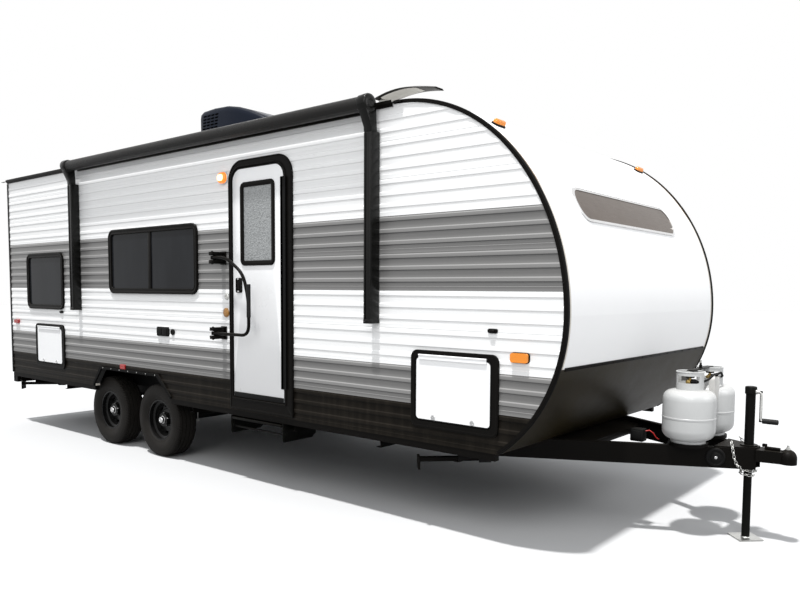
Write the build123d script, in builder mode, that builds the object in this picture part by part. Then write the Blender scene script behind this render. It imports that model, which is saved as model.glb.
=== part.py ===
from build123d import *
import os
from math import asin, atan2, cos, degrees, radians, sin

os.makedirs("parts", exist_ok=True)

# A two-axle travel trailer with a rounded nose, in millimetres.
# X runs forward from the rear wall to the hitch, Y to the left, Z up from the ground.
# Door side = right side = negative Y.

# --- Driving sizes: body ---
body_length = 6938.0
body_width = 2438.0
body_bottom = 574.0
panel_height = 236.8
panel_rows = 9
wall_thick = 44.0
skin_base = 2.0
skin_rib = 4.0
roof_crown = 160.0
roof_lip = 4.0
nose_run = 1237.0
nose_height = 1388.0
chin_radius = 985.0

# --- Driving sizes: running gear ---
tyre_radius = 331.0
tyre_width = 205.0
tyre_inset = 84.0
rim_radius = 178.0
axle_middle = 2380.0
axle_spacing = 860.0

# --- Driving sizes: frame and tongue ---
rail_height = 127.0
rail_flange = 60.0
rail_web = 6.0
rail_offset = 765.0
rail_end = 6110.0
tongue_angle = 27.0
tongue_start = (6165.0, 790.0)
coupler_tip = 7836.0
ball_x = 7785.0
jack_x = 7563.0
bottle_place = (7254.0, 190.0)
bottle_radius = 158.5
bottle_height = 335.0

# --- Driving sizes: what stands furthest out ---
rear_tip = -115.0
gutter_reach = 25.0
awning_reach = 95.0
awning_radius = 50.0
awning_cap = 62.0

# --- Worked-out places ---
half = body_width / 2
roof_edge = body_bottom + panel_rows * panel_height
wall_out = half - skin_base - skin_rib
wall_in = wall_out - wall_thick
shoulder_x = body_length - nose_run
nose_drop = roof_edge - nose_height
half_turn = cos(radians(45))
quarter = half_turn**2 - (1 - half_turn) ** 2
brow_radius = (nose_run * half_turn - nose_drop * (1 - half_turn)) / quarter
nose_radius = (nose_drop * half_turn - nose_run * (1 - half_turn)) / quarter
frame_top = body_bottom
rail_low = frame_top - rail_height
rail_mid = frame_top - rail_height / 2
awning_y = half + awning_reach
seat = 0.2
middle_x = (rear_tip + coupler_tip) / 2
middle_y = (half + gutter_reach - awning_y - awning_cap) / 2


# --- The three working planes; every sketch and block is placed by one of them ---
def plan(height):
    """Looking down, local x = X and local y = Y."""
    return Plane(origin=(-middle_x, -middle_y, height), x_dir=(1, 0, 0), z_dir=(0, 0, 1))


def side(y):
    """Looking from the door side, local x = X and local y = Z; extrudes towards the door side."""
    return Plane(origin=(-middle_x, y - middle_y, 0), x_dir=(1, 0, 0), z_dir=(0, -1, 0))


def cross(x):
    """Looking from the hitch, local x = Y and local y = Z; extrudes forward."""
    return Plane(origin=(x - middle_x, -middle_y, 0), x_dir=(0, 1, 0), z_dir=(1, 0, 0))


# --- Outlines used by several pieces ---
def body_outline(inset, rear, bottom):
    """The body's side outline: straight roof, three tangent arcs down the front, flat floor."""
    chin = chin_radius - inset
    chin_turn = degrees(asin((nose_height - bottom) / chin))
    with BuildSketch() as outline:
        with BuildLine():
            roof = Line((rear, roof_edge - inset), (shoulder_x, roof_edge - inset))
            brow = JernArc(roof @ 1, (1, 0), brow_radius - inset, -45)
            nose = JernArc(brow @ 1, brow % 1, nose_radius - inset, -45)
            under = JernArc(nose @ 1, (0, -1), chin, -chin_turn)
            Polyline(under @ 1, (rear, bottom), (rear, roof_edge - inset))
        make_face()
    return outline.sketch


def roof_section(crown):
    """Cross-section of the crowned roof, its lip resting on both side walls."""
    low = roof_edge - wall_thick
    with BuildSketch() as section:
        with BuildLine():
            lip = roof_edge + roof_lip
            top = ThreePointArc((-wall_out, lip), (0, lip + crown), (wall_out, lip))
            Polyline(top @ 1, (wall_out, roof_edge), (wall_in, roof_edge), (wall_in, low))
            ThreePointArc((wall_in, low), (0, low + crown), (-wall_in, low))
            Polyline((-wall_in, low), (-wall_in, roof_edge), (-wall_out, roof_edge), top @ 0)
        make_face()
    return section.sketch


def rear_outline(reach):
    """Outline of the rear wall under the crowned roof, in Y and Z."""
    low = roof_edge - wall_thick - seat
    with BuildSketch() as outline:
        with BuildLine():
            Polyline((-reach, low), (-reach, body_bottom), (reach, body_bottom), (reach, low))
            ThreePointArc((reach, low), (0, low + roof_crown), (-reach, low))
        make_face()
    return outline.sketch


def siding_strip(first_row, last_row):
    """Section of ribbed siding from one panel row to another, its flat back at u = 0."""
    rib_pitch = 75.0
    points = [(0, body_bottom + first_row * panel_height)]
    for row in range(first_row, last_row + 1):
        low = body_bottom + row * panel_height
        top = low + panel_height
        points += [(skin_base + 1.5, low), (skin_base + 1.5, low + 26), (skin_base, low + 28)]
        for rib in (2, 1, 0):
            at = top - rib * rib_pitch
            points += [(skin_base, at - 38), (skin_base + skin_rib, at - 31)]
            points += [(skin_base + skin_rib, at - 12), (skin_base, at - 5)]
        points.append((skin_base, top))
    points.append((0, points[-1][1]))
    with BuildSketch() as strip:
        with BuildLine():
            Polyline(*points, close=True)
        make_face()
    return strip.sketch


def channel(height, flange, web):
    """Channel section, its back on the line x = 0 and its flanges towards negative x."""
    with BuildSketch() as section:
        with Locations((-flange / 2, 0)):
            Rectangle(flange, height)
        with Locations((-web - flange / 2, 0)):
            Rectangle(flange, height - 2 * web, mode=Mode.SUBTRACT)
    return section.sketch


body_side = body_outline(0, 0, body_bottom)
skin_side = body_outline(0, skin_base + skin_rib, body_bottom)
cabin_side = body_outline(wall_thick, wall_thick, body_bottom)

# Openings in the walls: name: (rear x, front x, low z, high z, corner radius)
door_hole = (4046.0, 4688.0, 640.0, 2459.0, 110.0)
right_holes = {
    "door": door_hole,
    "big_window": (2207.0, 3577.0, 1494.0, 2043.0, 60.0),
    "small_window": (474.0, 1261.0, 1318.0, 1866.0, 60.0),
    "front_hatch": (5884.0, 6498.0, 690.0, 1136.0, 30.0),
    "rear_hatch": (646.0, 1249.0, 708.0, 1127.0, 30.0),
}
left_holes = {
    "dinette_window": (2400.0, 3500.0, 1494.0, 2043.0, 60.0),
    "bedroom_window": (5120.0, 5660.0, 1494.0, 2043.0, 60.0),
    "front_hatch": (5884.0, 6498.0, 690.0, 1136.0, 30.0),
}
window_holes = {
    -1: [right_holes["big_window"], right_holes["small_window"]],
    1: [left_holes["dinette_window"], left_holes["bedroom_window"]],
}
# Wheel arch: bottom x of both ends, top x of both ends, height of its top
arch_low = (1859.0, 3154.0)
arch_top = (2000.0, 2956.0)
arch_height = 752.0
well_inner = 905.0
well_ends = (1690.0, 3182.0)
well_height = 768.0
sheet = 4.0


def hole_sketch(hole, grow=0.0):
    """Rounded opening on a side plane, grown evenly on all sides."""
    rear, front, low, high, corner = hole
    with BuildSketch() as opening:
        with Locations(((rear + front) / 2, (low + high) / 2)):
            RectangleRounded(front - rear + 2 * grow, high - low + 2 * grow, corner + grow)
    return opening.sketch


def door_sketch(grow=0.0):
    """The doorway: rounded at the top and square at the sill."""
    rear, front, low, high, corner = door_hole
    with BuildSketch() as doorway:
        with BuildLine():
            sill = Line((front + grow, low - grow), (front + grow, high - corner))
            head = JernArc(sill @ 1, (0, 1), corner + grow, 90)
            top = Line(head @ 1, (rear + corner, high + grow))
            tail = JernArc(top @ 1, (-1, 0), corner + grow, 90)
            Polyline(tail @ 1, (rear - grow, low - grow), sill @ 0)
        make_face()
    return doorway.sketch


def arch_sketch(grow):
    """Tapered wheel arch on a side plane, open at the bottom."""
    low = body_bottom - 60
    with BuildSketch() as arch:
        with BuildLine():
            Polyline(
                (arch_low[0] - grow, low),
                (arch_low[0] - grow, body_bottom + 20),
                (arch_top[0] - grow, arch_height + grow),
                (arch_top[1] + grow, arch_height + grow),
                (arch_low[1] + grow, body_bottom + 20),
                (arch_low[1] + grow, low),
                close=True,
            )
        make_face()
    return arch.sketch


doorway = door_sketch()
arch_hole = arch_sketch(0)

# ---------------------------------------------------------------- chassis
# Two I-beam main rails and the side sills, broken at the wheel arches.
sill_height = 44.0
sill_runs = ((8.0, 1850.0), (3164.0, 6490.0))
with BuildPart() as main_rails:
    for hand in (-1, 1):
        with BuildSketch(cross(20)):
            with Locations((hand * rail_offset, rail_mid)):
                Rectangle(rail_flange, rail_height)
            for edge in (-1, 1):
                with Locations((hand * rail_offset + edge * rail_flange / 2, rail_mid)):
                    Rectangle(rail_flange - rail_web, rail_height - 2 * rail_web, mode=Mode.SUBTRACT)
        extrude(amount=rail_end - 20)
        for start, end in sill_runs:
            with BuildSketch(cross(start)):
                with Locations((hand * (wall_in + wall_thick / 2), frame_top - sill_height / 2)):
                    Rectangle(wall_thick, sill_height)
            extrude(amount=end - start)
main_rails.part.label = "main_rails"
export_step(main_rails.part, "parts/main_rails.step")

# Cross members between the rails and outriggers out to the sills.
cross_height = 100.0
cross_flange = 40.0
cross_places = (90.0, 1180.0, 3420.0, 4710.0, 5560.0)
cross_inner = rail_offset - rail_web / 2 - 0.2
outrigger_start = rail_offset + rail_flange / 2 + 0.2
cross_section = channel(cross_height, cross_flange, 5.0)
outrigger_places = cross_places + (450.0, 6200.0)
with BuildPart() as cross_members:
    for at in cross_places:
        with BuildSketch(side(cross_inner)):
            with Locations((at, rail_mid)):
                add(cross_section)
        extrude(amount=2 * cross_inner)
    for at in outrigger_places:
        for hand in (-1, 1):
            with BuildSketch(side(hand * outrigger_start)):
                with Locations((at, frame_top - cross_height / 2)):
                    add(cross_section)
            extrude(amount=-hand * (wall_in - outrigger_start))
cross_members.part.label = "cross_members"
export_step(cross_members.part, "parts/cross_members.step")

# Tongue: two channels meeting at the coupler, with a header under the nose and a jack plate.
tongue_x, tongue_y = tongue_start
slope = radians(tongue_angle)
jack_radius = 28.5
jack_wall = 4.0
jack_low = 430.0
jack_top = 948.0
crank_high = 918.0
crank_low = 743.0
rail_apex = 7620.0
tongue_run = (rail_apex - tongue_x) / cos(slope)
tongue_section = channel(rail_height, 48.0, rail_web)
with BuildPart() as a_frame:
    for hand in (-1, 1):
        rail_plane = Plane(
            origin=(tongue_x - middle_x, hand * tongue_y - middle_y, rail_mid),
            x_dir=(sin(slope), hand * cos(slope), 0),
            z_dir=(cos(slope), -hand * sin(slope), 0),
        )
        with BuildSketch(rail_plane):
            add(tongue_section)
        extrude(amount=tongue_run)
    with BuildSketch(plan(frame_top)):
        with BuildLine():
            Polyline((7400, -150), (7620, -40), (7620, 40), (7400, 150), close=True)
        make_face()
    extrude(amount=8)
    with BuildSketch(plan(rail_low)):
        with Locations((jack_x, 0)):
            Circle(jack_radius + 0.4)
    extrude(amount=rail_height + 8, mode=Mode.SUBTRACT)
a_frame.part.label = "a_frame"
export_step(a_frame.part, "parts/a_frame.step")

# Ball coupler: a pressed trough between the rails, domed over the ball.
ball_radius = 29.7
coupler_wall = 8.0
coupler_low = 500.0
ball_z = 538.0
dome_radius = ball_radius + coupler_wall
with BuildPart() as coupler:
    with BuildSketch(plan(coupler_low)):
        with BuildLine():
            Polyline((7620.3, -64), (ball_x, -dome_radius), (ball_x, dome_radius), (7620.3, 64), close=True)
        make_face()
    extrude(amount=72)
    with BuildSketch(plan(coupler_low)):
        with Locations((ball_x, 0)):
            Circle(51)
    extrude(amount=ball_z - coupler_low)
    with BuildSketch(side(0)):
        with BuildLine():
            Line((ball_x, ball_z), (ball_x + 51, ball_z))
            CenterArc((ball_x, ball_z), 51, 0, 90)
            Line((ball_x, ball_z + 51), (ball_x, ball_z))
        make_face()
    revolve(axis=Axis((ball_x - middle_x, -middle_y, 0), (0, 0, 1)))
    with BuildSketch(plan(coupler_low)):
        with Locations((ball_x, 0)):
            Circle(ball_radius)
    extrude(amount=ball_z - coupler_low, mode=Mode.SUBTRACT)
    with BuildSketch(side(0)):
        with BuildLine():
            Line((ball_x, ball_z), (ball_x + ball_radius, ball_z))
            CenterArc((ball_x, ball_z), ball_radius, 0, 90)
            Line((ball_x, ball_z + ball_radius), (ball_x, ball_z))
        make_face()
    revolve(axis=Axis((ball_x - middle_x, -middle_y, 0), (0, 0, 1)), mode=Mode.SUBTRACT)
    with BuildSketch(plan(coupler_low)):
        with BuildLine():
            Polyline((7620.3, -50), (7735, -28), (7735, 28), (7620.3, 50), close=True)
        make_face()
    extrude(amount=60, mode=Mode.SUBTRACT)
coupler.part.label = "coupler"
export_step(coupler.part, "parts/coupler.step")

# Tongue jack: outer tube, gear head and crank.
with BuildPart() as jack_tube:
    with BuildSketch(plan(jack_low)):
        with Locations((jack_x, 0)):
            Circle(jack_radius)
            Circle(jack_radius - jack_wall, mode=Mode.SUBTRACT)
    extrude(amount=jack_top - 40 - jack_low)
    with BuildSketch(plan(jack_top - 44)):
        with Locations((jack_x, 0)):
            Circle(jack_radius + 3)
    extrude(amount=44)
    with BuildSketch(plan(frame_top + 8.2)):
        with Locations((jack_x, 0)):
            Circle(50)
            Circle(jack_radius - 1, mode=Mode.SUBTRACT)
    extrude(amount=8)
    with BuildSketch(cross(jack_x)):
        with Locations((0, crank_high)):
            Circle(8)
    extrude(amount=66)
    with BuildSketch(plan(crank_low - 8)):
        with Locations((jack_x + 60, 0)):
            Circle(8)
    extrude(amount=crank_high - crank_low + 16)
    with BuildSketch(cross(jack_x + 56)):
        with Locations((0, crank_low)):
            Circle(8)
    extrude(amount=20)
    with BuildSketch(cross(jack_x + 72)):
        with Locations((0, crank_low)):
            Circle(15)
    extrude(amount=88)
jack_tube.part.label = "jack_tube"
export_step(jack_tube.part, "parts/jack_tube.step")

# Inner leg with its foot plate, standing on the ground, set corner forward.
foot_plate = 150.0
with BuildPart() as jack_leg:
    with BuildSketch(plan(0)):
        with Locations((jack_x, 0)):
            Rectangle(foot_plate, foot_plate, rotation=45)
    extrude(amount=8)
    with BuildSketch(plan(8)):
        with Locations((jack_x, 0)):
            Circle(jack_radius - jack_wall - 0.3)
            Circle(19, mode=Mode.SUBTRACT)
    extrude(amount=530)
jack_leg.part.label = "jack_leg"
export_step(jack_leg.part, "parts/jack_leg.step")

# Gas tray across the tongue rails, with a hold-down rod in the middle.
tray_z = frame_top + 0.3
tray_height = 20.0
bottle_x, bottle_y = bottle_place
with BuildPart() as bottle_tray:
    with BuildSketch(plan(tray_z)):
        with Locations((bottle_x, -bottle_y), (bottle_x, bottle_y)):
            Circle(bottle_radius - 40)
        with Locations((bottle_x, 0)):
            Rectangle(60, 2 * bottle_y)
    extrude(amount=tray_height)
    with BuildSketch(plan(tray_z)):
        with Locations((bottle_x, 0)):
            Circle(7)
    extrude(amount=500)
bottle_tray.part.label = "bottle_tray"
export_step(bottle_tray.part, "parts/bottle_tray.step")

# Two gas bottles: foot ring, domed body, neck boss and guard collar with hand holes.
bottle_z = tray_z + tray_height + 0.3
collar_radius = 105.0
collar_height = 105.0
with BuildPart() as gas_bottles:
    for hand in (-1, 1):
        with BuildSketch(side(hand * bottle_y)):
            with BuildLine():
                dome = 70.0
                lift = 14.0
                Line((bottle_x, bottle_z + lift), (bottle_x + 100, bottle_z + lift))
                Line((bottle_x + 100, bottle_z + lift), (bottle_x + 100, bottle_z))
                Line((bottle_x + 100, bottle_z), (bottle_x + 104, bottle_z))
                Line((bottle_x + 104, bottle_z), (bottle_x + 104, bottle_z + lift + 6))
                RadiusArc((bottle_x + 104, bottle_z + lift + 6), (bottle_x + bottle_radius, bottle_z + lift + dome), -80)
                Line((bottle_x + bottle_radius, bottle_z + lift + dome), (bottle_x + bottle_radius, bottle_z + bottle_height - dome))
                RadiusArc((bottle_x + bottle_radius, bottle_z + bottle_height - dome), (bottle_x + 30, bottle_z + bottle_height), -135)
                Line((bottle_x + 30, bottle_z + bottle_height), (bottle_x + 22, bottle_z + bottle_height + 14))
                Line((bottle_x + 22, bottle_z + bottle_height + 14), (bottle_x, bottle_z + bottle_height + 14))
                Line((bottle_x, bottle_z + bottle_height + 14), (bottle_x, bottle_z + lift))
            make_face()
        revolve(axis=Axis((bottle_x - middle_x, hand * bottle_y - middle_y, 0), (0, 0, 1)))
        collar_z = bottle_z + bottle_height - 24
        with BuildSketch(plan(collar_z)):
            with Locations((bottle_x, hand * bottle_y)):
                Circle(collar_radius)
                Circle(collar_radius - 4, mode=Mode.SUBTRACT)
        extrude(amount=collar_height + 24)
        with BuildSketch(cross(bottle_x)):
            with Locations((hand * bottle_y, collar_z + 78)):
                SlotOverall(130, 54)
        extrude(amount=2 * collar_radius, mode=Mode.SUBTRACT)
gas_bottles.part.label = "gas_bottles"
export_step(gas_bottles.part, "parts/gas_bottles.step")

# Valves, the bridge that clamps the bottles and the changeover regulator on it.
fitting_z = bottle_z + bottle_height + 14.3
with BuildPart() as gas_fittings:
    with BuildSketch(plan(fitting_z)):
        with Locations((bottle_x, -bottle_y), (bottle_x, bottle_y)):
            Circle(14)
    extrude(amount=42)
    with BuildSketch(plan(fitting_z + 42)):
        with Locations((bottle_x, -bottle_y), (bottle_x, bottle_y)):
            Circle(24)
    extrude(amount=16)
    for hand in (-1, 1):
        with BuildSketch(side(hand * bottle_y + (30 if hand < 0 else 0))):
            with Locations((bottle_x, fitting_z + 22)):
                Circle(11)
        extrude(amount=30)
    with BuildSketch(plan(bottle_z + bottle_height + 92)):
        with Locations((bottle_x, 0)):
            Rectangle(90, 70)
            Circle(7.3, mode=Mode.SUBTRACT)
    extrude(amount=60)
gas_fittings.part.label = "gas_fittings"
export_step(gas_fittings.part, "parts/gas_fittings.step")

# Safety chains: a plain run on each rail, hanging from the tongue's end.
chain_wire = 8.0
with BuildPart() as safety_chains:
    for hand in (-1, 1):
        with BuildSketch(plan(rail_low - 40)):
            with Locations((7560, hand * 52)):
                Circle(chain_wire)
        extrude(amount=39.7)
safety_chains.part.label = "safety_chains"
export_step(safety_chains.part, "parts/safety_chains.step")

# ---------------------------------------------------------------- cabin shell
deck_height = 60.0
with BuildPart() as floor_deck:
    with BuildSketch(side(-wall_in + seat)):
        add(cabin_side)
        with Locations((body_length / 2, body_bottom + deck_height / 2)):
            Rectangle(2 * body_length, deck_height, mode=Mode.INTERSECT)
    extrude(amount=-2 * (wall_in - seat))
    for hand in (-1, 1):
        with BuildSketch(plan(body_bottom)):
            with Locations(((well_ends[0] + well_ends[1]) / 2, hand * (well_inner + wall_in) / 2)):
                Rectangle(well_ends[1] - well_ends[0], wall_in - well_inner + 2)
        extrude(amount=deck_height, mode=Mode.SUBTRACT)
floor_deck.part.label = "floor_deck"
export_step(floor_deck.part, "parts/floor_deck.step")

with BuildPart() as wall_right:
    with BuildSketch(side(-wall_in)):
        add(body_side)
        add(arch_hole, mode=Mode.SUBTRACT)
        add(doorway, mode=Mode.SUBTRACT)
        for name, hole in right_holes.items():
            if name != "door":
                add(hole_sketch(hole), mode=Mode.SUBTRACT)
    extrude(amount=wall_thick)
wall_right.part.label = "wall_right"
export_step(wall_right.part, "parts/wall_right.step")

with BuildPart() as wall_left:
    with BuildSketch(side(wall_out)):
        add(body_side)
        add(arch_hole, mode=Mode.SUBTRACT)
        for hole in left_holes.values():
            add(hole_sketch(hole), mode=Mode.SUBTRACT)
    extrude(amount=wall_thick)
wall_left.part.label = "wall_left"
export_step(wall_left.part, "parts/wall_left.step")

rear_face = skin_base + skin_rib
with BuildPart() as wall_rear:
    with BuildSketch(cross(rear_face)):
        add(rear_outline(wall_in - seat))
    extrude(amount=wall_thick - rear_face - seat)
wall_rear.part.label = "wall_rear"
export_step(wall_rear.part, "parts/wall_rear.step")

taper_start = 4900.0
full_roof = roof_section(roof_crown)
flat_roof = roof_section(6.0)
with BuildPart() as roof_panel:
    with BuildSketch(cross(0)):
        add(full_roof)
    extrude(amount=taper_start)
    with BuildSketch(cross(taper_start)):
        add(full_roof)
    with BuildSketch(cross(shoulder_x - seat)):
        add(flat_roof)
    loft()
roof_panel.part.label = "roof_panel"
export_step(roof_panel.part, "parts/roof_panel.step")

with BuildPart() as front_panel:
    with BuildSketch(side(-wall_in + seat)):
        add(body_side)
        add(cabin_side, mode=Mode.SUBTRACT)
        with Locations((shoulder_x + body_length / 2, nose_height)):
            Rectangle(body_length, 4 * roof_edge, mode=Mode.INTERSECT)
    extrude(amount=-2 * (wall_in - seat))
front_panel.part.label = "front_panel"
export_step(front_panel.part, "parts/front_panel.step")

# Rock guard: a thin sheet over the lower part of the nose.
guard_top = 1094.0
guard_thick = 3.0
with BuildPart() as rock_guard:
    with BuildSketch(side(-wall_in + 12)):
        add(body_outline(-guard_thick, 0, body_bottom + 2))
        add(body_outline(0, 0, body_bottom + 1), mode=Mode.SUBTRACT)
        with Locations((body_length, (guard_top + body_bottom) / 2)):
            Rectangle(2 * (body_length - shoulder_x), guard_top - body_bottom, mode=Mode.INTERSECT)
    extrude(amount=-2 * (wall_in - 12))
rock_guard.part.label = "rock_guard"
export_step(rock_guard.part, "parts/rock_guard.step")

# Ribbed siding, one node per colour: name: ((first row, last row), ...)
siding_rows = {"siding_white": ((2, 3), (6, 8)), "siding_grey": ((1, 1), (4, 5)), "siding_black": ((0, 0),)}
for name, rows in siding_rows.items():
    with BuildPart() as rear_skin:
        for first, last in rows:
            with BuildSketch(Plane(origin=(rear_face - middle_x, wall_in - seat - middle_y, 0), x_dir=(-1, 0, 0), z_dir=(0, 1, 0))):
                add(siding_strip(first, last + 1 if last == panel_rows - 1 else last))
            extrude(amount=-2 * (wall_in - seat))
        with BuildSketch(cross(0)):
            add(rear_outline(wall_in - seat))
        extrude(amount=rear_face, mode=Mode.INTERSECT)

    with BuildPart() as siding:
        for first, last in rows:
            strip = siding_strip(first, last)
            for hand in (-1, 1):
                with BuildSketch(Plane(origin=(rear_face - middle_x, hand * wall_out - middle_y, 0), x_dir=(0, hand, 0), z_dir=(hand, 0, 0))):
                    add(strip)
                extrude(amount=hand * (body_length - rear_face))
        with BuildSketch(side(-half)):
            add(skin_side)
            add(arch_hole, mode=Mode.SUBTRACT)
        extrude(amount=-2 * half, mode=Mode.INTERSECT)
        with BuildSketch(side(-wall_in)):
            add(doorway)
            for hole in right_holes.values():
                if hole is not door_hole:
                    with Locations(((hole[0] + hole[1]) / 2, (hole[2] + hole[3]) / 2)):
                        Rectangle(hole[1] - hole[0], hole[3] - hole[2])
        extrude(amount=100, mode=Mode.SUBTRACT)
        with BuildSketch(side(wall_in)):
            for hole in left_holes.values():
                with Locations(((hole[0] + hole[1]) / 2, (hole[2] + hole[3]) / 2)):
                    Rectangle(hole[1] - hole[0], hole[3] - hole[2])
        extrude(amount=-100, mode=Mode.SUBTRACT)
        add(rear_skin.part)
    siding.part.label = name
    export_step(siding.part, f"parts/{name}.step")

# Black trim along both side edges of the nose and the rear corners.
trim_width = 40.0
trim_proud = 3.0
with BuildPart() as edge_trim:
    for hand in (-1, 1):
        with BuildSketch(side(hand * half)):
            add(body_outline(-trim_proud, -0.5, body_bottom))
            add(body_outline(trim_width, -1, body_bottom - 1), mode=Mode.SUBTRACT)
            with Locations((shoulder_x + body_length / 2, nose_height)):
                Rectangle(body_length, 4 * roof_edge, mode=Mode.INTERSECT)
        extrude(amount=-hand * 4)
        with BuildSketch(side(hand * (wall_in + 6))):
            add(body_outline(-trim_proud, -0.5, body_bottom))
            add(body_outline(0, -1, body_bottom - 1), mode=Mode.SUBTRACT)
            with Locations((shoulder_x + body_length / 2, nose_height)):
                Rectangle(body_length, 4 * roof_edge, mode=Mode.INTERSECT)
        extrude(amount=-hand * (half - wall_in - 6))
        with BuildSketch(plan(body_bottom)):
            with Locations((trim_width / 2 - 4, hand * (half + 2))):
                Rectangle(trim_width, 4)
            with Locations((-2, hand * (half - 16))):
                Rectangle(4, 40)
        extrude(amount=roof_edge - 34 - body_bottom)
edge_trim.part.label = "edge_trim"
export_step(edge_trim.part, "parts/edge_trim.step")

# Gutter rails along the roof edges with a spout at each end.
gutter_ends = (20.0, shoulder_x - 1)
spout_ends = (-90.0, 5778.0)
with BuildPart() as gutter_rails:
    for hand in (-1, 1):
        with BuildSketch(cross(gutter_ends[0])):
            with BuildLine():
                Polyline(
                    (hand * half, roof_edge - 28),
                    (hand * (half + 5), roof_edge - 28),
                    (hand * (half + 5), roof_edge - 8),
                    (hand * (half + 21), roof_edge - 8),
                    (hand * (half + 21), roof_edge + 6),
                    (hand * (half + gutter_reach), roof_edge + 6),
                    (hand * (half + gutter_reach), roof_edge - 12),
                    (hand * (half + 9), roof_edge - 32),
                    (hand * half, roof_edge - 32),
                    close=True,
                )
            make_face()
        extrude(amount=gutter_ends[1] - gutter_ends[0])
        with BuildSketch(cross(spout_ends[0])):
            with Locations((hand * (half + 15), roof_edge - 10)):
                Rectangle(20, 4)
        extrude(amount=spout_ends[1] - spout_ends[0])
gutter_rails.part.label = "gutter_rails"
export_step(gutter_rails.part, "parts/gutter_rails.step")

# ---------------------------------------------------------------- openings' frames
door_leaf = (4066.0, 4668.0, 686.0, 2439.0)
leaf_gap = 6.0
frame_face = half + 15
with BuildPart() as door_frame:
    with BuildSketch(side(-half)):
        with Locations(((4018 + 4755) / 2, (612 + 2502) / 2)):
            RectangleRounded(4755 - 4018, 2502 - 612, 60)
        rear, front, low, high = door_leaf
        with Locations(((rear + front) / 2, (low + high) / 2)):
            RectangleRounded(front - rear + 2 * leaf_gap, high - low + 2 * leaf_gap, 106, mode=Mode.SUBTRACT)
    extrude(amount=frame_face - half)
    with BuildSketch(side(-wall_in)):
        with Locations(((rear + front) / 2, (low + high) / 2)):
            RectangleRounded(front - rear + 2 * leaf_gap + 16, high - low + 2 * leaf_gap + 16, 108)
            RectangleRounded(front - rear + 2 * leaf_gap, high - low + 2 * leaf_gap, 106, mode=Mode.SUBTRACT)
    extrude(amount=half - wall_in)
door_frame.part.label = "door_frame"
export_step(door_frame.part, "parts/door_frame.step")

# Frames of the luggage hatches: hand, name of the hole
hatches = {
    "hatch_front_right": (-1, right_holes["front_hatch"]),
    "hatch_rear_right": (-1, right_holes["rear_hatch"]),
    "hatch_front_left": (1, left_holes["front_hatch"]),
}
hatch_lap = 18.0
hatch_rim = 37.0
with BuildPart() as hatch_frames:
    for hand, hole in hatches.values():
        leaf = (hole[0] + 19, hole[1] - 31, hole[2] + 28, hole[3] - 22, 30.0)
        with BuildSketch(side(hand * half)):
            add(hole_sketch(hole, hatch_lap))
            add(hole_sketch(leaf, leaf_gap), mode=Mode.SUBTRACT)
        extrude(amount=-hand * 12)
        with BuildSketch(side(hand * wall_in)):
            add(hole_sketch(hole, -1))
            add(hole_sketch(hole, -7), mode=Mode.SUBTRACT)
        extrude(amount=-hand * (half - wall_in))
hatch_frames.part.label = "hatch_frames"
export_step(hatch_frames.part, "parts/hatch_frames.step")

window_lap = 18.0
window_rim = 24.0
glass_depth = half - 4
with BuildPart() as window_frames:
    for hand, holes in window_holes.items():
        for hole in holes:
            with BuildSketch(side(hand * half)):
                add(hole_sketch(hole, window_lap))
                add(hole_sketch(hole, -window_rim), mode=Mode.SUBTRACT)
            extrude(amount=-hand * 14)
            with BuildSketch(side(hand * wall_in)):
                add(hole_sketch(hole, -1))
                add(hole_sketch(hole, -7), mode=Mode.SUBTRACT)
            extrude(amount=-hand * (half - wall_in))
window_frames.part.label = "window_frames"
export_step(window_frames.part, "parts/window_frames.step")

with BuildPart() as window_glass:
    for hand, holes in window_holes.items():
        for hole in holes:
            with BuildSketch(side(hand * (half - 6))):
                add(hole_sketch(hole, -7.3))
            extrude(amount=-hand * 5.7)
window_glass.part.label = "window_glass"
export_step(window_glass.part, "parts/window_glass.step")

# Wheel wells in the floor and the flared lips on the walls.
with BuildPart() as wheel_wells:
    for hand in (-1, 1):
        middle = ((well_ends[0] + well_ends[1]) / 2, hand * (well_inner + wall_in) / 2)
        long = well_ends[1] - well_ends[0] - 0.6
        deep = wall_in - well_inner - 0.6
        with BuildSketch(plan(body_bottom)):
            with Locations(middle):
                Rectangle(long, deep)
        extrude(amount=well_height - body_bottom)
        with BuildSketch(plan(body_bottom)):
            with Locations((middle[0], middle[1] + hand * sheet)):
                Rectangle(long - 2 * sheet, deep + 2 * sheet - sheet)
        extrude(amount=well_height - body_bottom - sheet, mode=Mode.SUBTRACT)
        with BuildSketch(side(hand * half)):
            add(arch_sketch(22))
            add(arch_sketch(-2), mode=Mode.SUBTRACT)
            with Locations((0, body_bottom / 2)):
                Rectangle(4 * body_length, body_bottom, mode=Mode.SUBTRACT)
        extrude(amount=-hand * 12)
wheel_wells.part.label = "wheel_wells"
export_step(wheel_wells.part, "parts/wheel_wells.step")

# ---------------------------------------------------------------- running gear
axle_places = (axle_middle - axle_spacing / 2, axle_middle + axle_spacing / 2)
wheel_middle = half - tyre_inset - tyre_width / 2
wheel_inner = wheel_middle - tyre_width / 2
spindle_radius = 20.0
with BuildPart() as axles:
    for at in axle_places:
        with BuildSketch(side(wheel_inner - 30)):
            with Locations((at, tyre_radius)):
                Circle(38)
        extrude(amount=2 * (wheel_inner - 30))
        for hand in (-1, 1):
            with BuildSketch(side(hand * (wheel_inner - 30))):
                with Locations((at, tyre_radius)):
                    Circle(135)
            extrude(amount=-hand * 5)
            with BuildSketch(side(hand * (wheel_inner - 30))):
                with Locations((at, tyre_radius)):
                    Circle(spindle_radius)
            extrude(amount=-hand * (wheel_middle - wheel_inner + 50))
axles.part.label = "axles"
export_step(axles.part, "parts/axles.step")

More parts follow.
